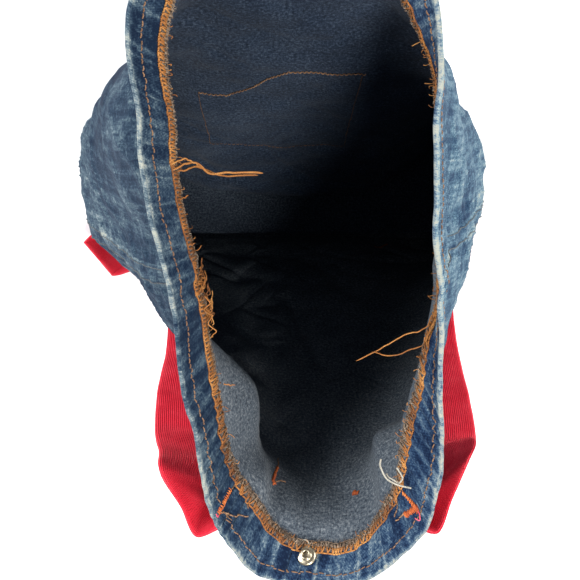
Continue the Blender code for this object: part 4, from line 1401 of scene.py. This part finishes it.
# and the other side
bartack(tack, (0.5905, 0.0112), (0.5862, 0.0178), 0.0015, FO, tone=0.55, swell=0.6)
bartack(tack, (0.5908, 0.0114), (0.5800, 0.0128), 0.0016, FO, tone=0.50, swell=0.4)
bartack(tack, (0.5930, 0.0100), (0.5892, 0.0106), 0.0026, FO, tone=0.35)
# the same tacks show on the wall under the hem
bartack(tack, (0.4490, 0.0520), (0.4540, 0.0720), 0.0022, IO, tone=0.30, swell=0.6)
bartack(tack, (0.4490, 0.0520), (0.4525, 0.0545), 0.0034, IO, tone=0.40)
bartack(tack, (0.5250, 0.0585), (0.5300, 0.0560), 0.0030, IO, tone=0.30, swell=0.5)
bartack(tack, (0.5960, 0.4020), (0.6030, 0.3990), 0.0016, IO, tone=0.35)
bartack(tack, (0.6030, 0.3990), (0.6110, 0.4030), 0.0016, IO, tone=0.35)
bend(tack.build("bartacks", mat_tack))

arms = Tubes(6)


def seam(points, off, pitch=0.0028, radius=0.00034, n=60, fill=0.78, tone=0.5):
    stitch_row(arms, [tuple(q) for q in along(points, n)], pitch, radius, off, fill, tone, 1.0)


for _ in range(1):
    seam([(0.4100, 0.0050), (0.4210, 0.0110), (0.4319, 0.0154)], FO, 0.0019, 0.00042, fill=0.85, tone=0.62)
    seam([(0.4200, 0.0235), (0.4250, 0.0210), (0.4310, 0.0165)], FO, 0.0024)
    seam([(0.4066, 0.0150), (0.4080, 0.0185), (0.4110, 0.0225)], FO, 0.0022)
    seam([(0.4110, 0.0060), (0.4160, 0.0075), (0.4230, 0.0090)], FO, 0.0021, 0.00030, tone=0.35)
    seam([(0.5860, 0.0205), (0.5835, 0.0245)], FO, 0.0022, 0.00040, tone=0.6)
    seam([(0.5800, 0.0135), (0.5740, 0.0140), (0.5694, 0.0144)], FO, 0.0020, 0.00042, fill=0.85, tone=0.6)
    seam([(0.5825, 0.0240), (0.5770, 0.0195), (0.5700, 0.0150)], FO, 0.0023)
    seam([(0.4540, 0.0720), (0.4583, 0.0900)], IO, 0.0024, 0.00034, tone=0.45)
    seam([(0.4510, 0.0530), (0.4570, 0.0580), (0.4640, 0.0600)], IO, 0.0022, 0.00036, tone=0.45)
# the pocket's outline, seen on the inside of the front wall
outline = [(0.0694, 0.1945), (0.0458, 0.1963), (0.0278, 0.1838), (0.0111, 0.1650), (-0.0060, 0.1530),
           (-0.0333, 0.1515), (-0.0600, 0.1512), (-0.0681, 0.1533)]
seam(outline, IO - 0.0002, 0.0030, 0.00042, 160, 0.80, 0.62)
seam([(-0.0640, 0.1540), (-0.0600, 0.2100), (-0.0569, 0.2870)], IO, 0.0033, 0.00024, 90, 0.7, 0.25)
seam([(0.0694, 0.1945), (0.0670, 0.2400), (0.0650, 0.2900)], IO, 0.0033, 0.00024, 90, 0.7, 0.25)
seam([(0.0650, 0.2900), (0.0000, 0.2950), (-0.0569, 0.2870)], IO, 0.0033, 0.00024, 140, 0.7, 0.25)
# felled side seams: two rows outside, in thread that has faded to the colour of the cloth
orange_rows, arms = arms, Tubes(6)
for su in SEAMS:
    for k in (-0.0050, 0.0050):
        lo = 0.405 if su < 0.5 else 0.410
        seam([(su + k / GIRTH, 0.010), (su + k / GIRTH, 0.2), (su + k / GIRTH, lo)], 0.0002, 0.0031, 0.00032, 300)
bend(arms.build("side_seam_stitches", mat_faded))
arms = orange_rows
# one row just above the base seam, outside
for a0, a1 in ((0.005, 0.495), (0.505, 0.995)):
    seam([(u, depth_at(u, 0.0185)) for u in np.linspace(a0, a1, 160)], 0.0002, 0.0031, 0.00030, 420)
bend(arms.build("seam_stitches", mat_copper))

# the pocket's own stitching: two rows down the sides and round the bottom, one across its hem
pst = Tubes(6)


def pocket_row(points):
    stitch_row(pst, [tuple(q) for q in along(points, 160)], 0.0030, 0.00030, 0.0019, 0.78, 0.5, 1.0)


def pk(f, t, inset=0.0):
    rnd = 0.16 * max(0.0, (t - 0.86) / 0.14)
    u = f * (0.073 * (1 - rnd) - inset) / 0.862
    return (u, depth_at(u, 0.267 - 0.150 * t))


for ins in (0.0020, 0.0070):
    r = ins / 0.150
    pocket_row([pk(-1, t, ins) for t in np.linspace(0.01, 1 - r, 30)]
               + [pk(f, 1 - r, ins) for f in np.linspace(-1, 1, 24)]
               + [pk(1, t, ins) for t in np.linspace(1 - r, 0.01, 30)])
pocket_row([pk(f, 0.105) for f in np.linspace(-0.985, 0.985, 40)])
bend(pst.build("pocket_stitches", mat_copper))

# loose ends
loose = Tubes(6)
for pts, r, tone in (
        ([(0.0559, -0.0755, 0.3860), (0.0511, -0.0770, 0.3830), (0.0466, -0.0792, 0.3804),
          (0.0411, -0.0782, 0.3780), (0.0356, -0.0725, 0.3760), (0.0262, -0.0727, 0.3744),
          (0.0166, -0.0730, 0.3730), (0.0069, -0.0723, 0.3720)], 0.00058, 0.62),
        ([(0.0550, -0.0734, 0.3860), (0.0523, -0.0747, 0.3822), (0.0485, -0.0752, 0.3790),
          (0.0424, -0.0763, 0.3762), (0.0369, -0.0737, 0.3739), (0.0291, -0.0707, 0.3721),
          (0.0194, -0.0710, 0.3708), (0.0097, -0.0708, 0.3700)], 0.00055, 0.50),
        ([(0.0560, -0.0770, 0.3862), (0.0530, -0.0800, 0.3840), (0.0480, -0.0815, 0.3818),
          (0.0440, -0.0800, 0.3800), (0.0400, -0.0770, 0.3790)], 0.00045, 0.70),
        ([(0.0511, -0.0607, 0.3840), (0.0487, -0.0609, 0.3825), (0.0467, -0.0622, 0.3810)], 0.00034, 0.5),
        ([(0.0485, -0.0349, 0.3840), (0.0460, -0.0350, 0.3825), (0.0440, -0.0357, 0.3810)], 0.00034, 0.45),
        ([(0.0302, 0.0472, 0.3840), (0.0275, 0.0488, 0.3820), (0.0242, 0.0498, 0.3800)], 0.00034, 0.5),
        ([(-0.0862, 0.0042, 0.3860), (-0.0849, 0.0119, 0.3830), (-0.0799, 0.0160, 0.3804),
          (-0.0730, 0.0194, 0.3780), (-0.0683, 0.0233, 0.3760), (-0.0624, 0.0283, 0.3744),
          (-0.0540, 0.0333, 0.3730), (-0.0461, 0.0382, 0.3720)], 0.00040, 0.52),
        ([(-0.0830, 0.0173, 0.3860), (-0.0832, 0.0223, 0.3829), (-0.0816, 0.0258, 0.3802),
          (-0.0763, 0.0286, 0.3780), (-0.0710, 0.0319, 0.3762), (-0.0631, 0.0331, 0.3749),
          (-0.0550, 0.0316, 0.3740)], 0.00040, 0.45),
        ([(-0.0873, 0.0079, 0.3870), (-0.0856, 0.0142, 0.3862), (-0.0838, 0.0193, 0.3855),
          (-0.0859, 0.0245, 0.3848), (-0.0833, 0.0273, 0.3840)], 0.00038, 0.6),
        ([(0.0393, -0.0063, 0.3840), (0.0367, -0.0020, 0.3837), (0.0402, 0.0022, 0.3833),
          (0.0359, 0.0059, 0.3830), (0.0383, 0.0108, 0.3827), (0.0340, 0.0146, 0.3823),
          (0.0370, 0.0196, 0.3820)], 0.00036, 0.5)):
    path = smooth_path(pts, 8)
    kink = np.stack([noise(np.linspace(0, 0.999, len(path)), np.zeros(len(path)), 14, 1, 700 + a + len(pts))
                     for a in range(3)], 1) * 0.0004
    path = path + kink
    rr = np.full(len(path), r)
    rr[-3:] = (r * 0.8, r * 0.55, r * 0.3)
    loose.add(path, rr, tone)
# the frayed tangle where the overlock has come undone
for k in range(46):
    j = rng.uniform(-1, 1, 8)
    u0 = 0.272 + 0.016 * j[0]
    p0, n0 = cloth(u0, 0.0235 + 0.0015 * j[1], -FACE)
    pts = [p0]
    for q in range(1, 6):
        pts.append(pts[-1] - n0 * (0.0009 + 0.0005 * j[2]) * (1 if q < 4 else -0.4)
                   + np.array((0.0008 * math.sin(q * 2.1 + 5 * j[3]), 0.0022 * j[4] + 0.0012 * math.sin(q * 1.7 + 4 * j[5]),
                               -0.0008 + 0.0010 * j[6])))
    loose.add(smooth_path(pts, 4), 0.00026, 0.5 + 0.3 * j[7])
for k in range(90):
    j = rng.uniform(-1, 1, 6)
    u0 = rng.uniform(0.09, 0.91)
    p0, n0 = cloth(u0, 0.0245 + 0.001 * j[0], -(FACE + 0.0002))
    ln = 0.0025 + 0.0030 * abs(j[1])
    mid_ = p0 - n0 * ln * 0.5 + np.array((0, 0, -1)) * ln * 0.3 * j[2]
    end_ = p0 - n0 * ln * 0.7 + np.array((j[3], j[4], j[5] - 0.6)) * ln * 0.4
    loose.add(smooth_path([p0, mid_, end_], 4), 0.00020, 0.5 + 0.25 * j[5])
bend(loose.build("loose_threads", mat_orange))

cream = Tubes(8)
cream.add(smooth_path([(-0.0608, 0.0927, 0.3900), (-0.0602, 0.0954, 0.3910), (-0.0608, 0.0975, 0.3925),
                       (-0.0632, 0.1022, 0.3940), (-0.0661, 0.1043, 0.3955), (-0.0713, 0.1063, 0.3965),
                       (-0.0782, 0.1077, 0.3972)], 8), 0.00055, 0.55)
cream.add(smooth_path([(-0.0641, 0.1014, 0.3915), (-0.0652, 0.1029, 0.3930), (-0.0687, 0.1044, 0.3945),
                       (-0.0710, 0.1059, 0.3950), (-0.0731, 0.1027, 0.3952), (-0.0723, 0.1001, 0.3950),
                       (-0.0697, 0.0963, 0.3935)], 8), 0.00055, 0.48)
bend(cream.build("cream_thread", mat_cream))
pink = Tubes(6)
p0, n0 = cloth(0.5870, 0.0085, -(FACE + 0.0004))
p1, n1 = cloth(0.5890, 0.0065, -(FACE + 0.0014))
p2, n2 = cloth(0.5920, 0.0075, -(FACE + 0.0010))
p3, n3 = cloth(0.5905, 0.0100, -(FACE + 0.0004))
pink.add(smooth_path([p0, p1, p2, p3], 8), 0.00034, 0.5)
p0, n0 = cloth(0.4078, 0.0018, -(FACE + 0.0003))
p1, n1 = cloth(0.4100, 0.0010, -(FACE + 0.0007))
p2, n2 = cloth(0.4116, 0.0028, -(FACE + 0.0003))
pink.add(smooth_path([p0, p1, p2], 8), 0.00032, 0.5)
bend(pink.build("pink_thread", mat_pink))

# a small worn ring of thread caught in the overlock above the stud
rp, rn = cloth(0.4885, 0.0238, -(FACE + 0.0006))
ex = np.cross(rn, (0, 0, 1.0))
ex /= np.linalg.norm(ex)
ey = np.cross(rn, ex)
hoop = Tubes(8)
ang = np.linspace(0, 2 * np.pi * 0.97, 40)
hoop.add(rp + (np.cos(ang)[:, None] * ex + np.sin(ang)[:, None] * ey) * 0.0024
         - rn * (0.0002 * np.sin(3 * ang))[:, None], 0.00048, 0.62)
bend(hoop.build("thread_ring", mat_cream))

# --------------------------------------------------------------------------------------
# Floor, light and camera
# --------------------------------------------------------------------------------------
fm = Mat("studio_floor")
grain = fm.noise(fm.pos(), 6.0, 3.0)
fcol = fm.ramp(grain, ((0.0, (0.80, 0.80, 0.80)), (1.0, (0.86, 0.86, 0.86))))
fm.finish(fcol, 0.75)
fme = bpy.data.meshes.new("floor")
fme.from_pydata([(-6, -6, -0.0002), (6, -6, -0.0002), (6, 6, -0.0002), (-6, 6, -0.0002)], [], [(0, 1, 2, 3)])
fme.materials.append(fm.m)
floor = bpy.data.objects.new("floor", fme)
bpy.context.scene.collection.objects.link(floor)

world = bpy.data.worlds.new("studio")
bpy.context.scene.world = world
world.use_nodes = True
bg = world.node_tree.nodes["Background"]
# a pale room: bright round the horizon, dimmer overhead
wt = world.node_tree
co = wt.nodes.new("ShaderNodeTexCoord")
sp = wt.nodes.new("ShaderNodeSeparateXYZ")
wr = wt.nodes.new("ShaderNodeValToRGB")
wr.color_ramp.elements[0].position = 0.0
wr.color_ramp.elements[0].color = (1.0, 1.0, 1.0, 1.0)
wr.color_ramp.elements[1].position = 0.75
wr.color_ramp.elements[1].color = (0.20, 0.22, 0.26, 1.0)
wt.links.new(co.outputs["Generated"], sp.inputs[0])
wt.links.new(sp.outputs[2], wr.inputs[0])
wt.links.new(wr.outputs[0], bg.inputs["Color"])
bg.inputs["Strength"].default_value = 0.75


def softbox(name, place, target, size, power, color):
    data = bpy.data.lights.new(name, "AREA")
    data.shape = "RECTANGLE"
    data.size, data.size_y = size
    data.energy = power
    data.color = color
    ob = bpy.data.objects.new(name, data)
    ob.location = place
    ob.rotation_euler = (Vector(target) - Vector(place)).to_track_quat("-Z", "Y").to_euler()
    bpy.context.scene.collection.objects.link(ob)
    return ob


softbox("key", (-0.8, 0.75, 2.7), (0, 0, 0.2), (0.8, 0.8), 90, (1.0, 0.975, 0.93))
softbox("fill", (1.9, -0.9, 1.7), (0, 0.1, 0.2), (1.4, 1.4), 98, (0.96, 0.98, 1.0))
softbox("side", (-2.0, -0.9, 1.3), (0, 0.1, 0.2), (1.4, 1.2), 46, (1.0, 1.0, 1.0))

cam_data = bpy.data.cameras.new("camera")
cam_data.sensor_width = 36.0
cam_data.lens = 49.66
cam = bpy.data.objects.new("camera", cam_data)
tilt = math.radians(19.0)
# photo right is -X, photo down is +Y, looking down and towards the back of the bag
cam.matrix_world = Matrix((
    (-1.0, 0.0, 0.0, -0.0076),
    (0.0, -math.cos(tilt), -math.sin(tilt), -0.153),
    (0.0, -math.sin(tilt), math.cos(tilt), 0.800),
    (0.0, 0.0, 0.0, 1.0)))
bpy.context.scene.collection.objects.link(cam)
bpy.context.scene.camera = cam
bpy.context.scene.view_settings.view_transform = "Standard"
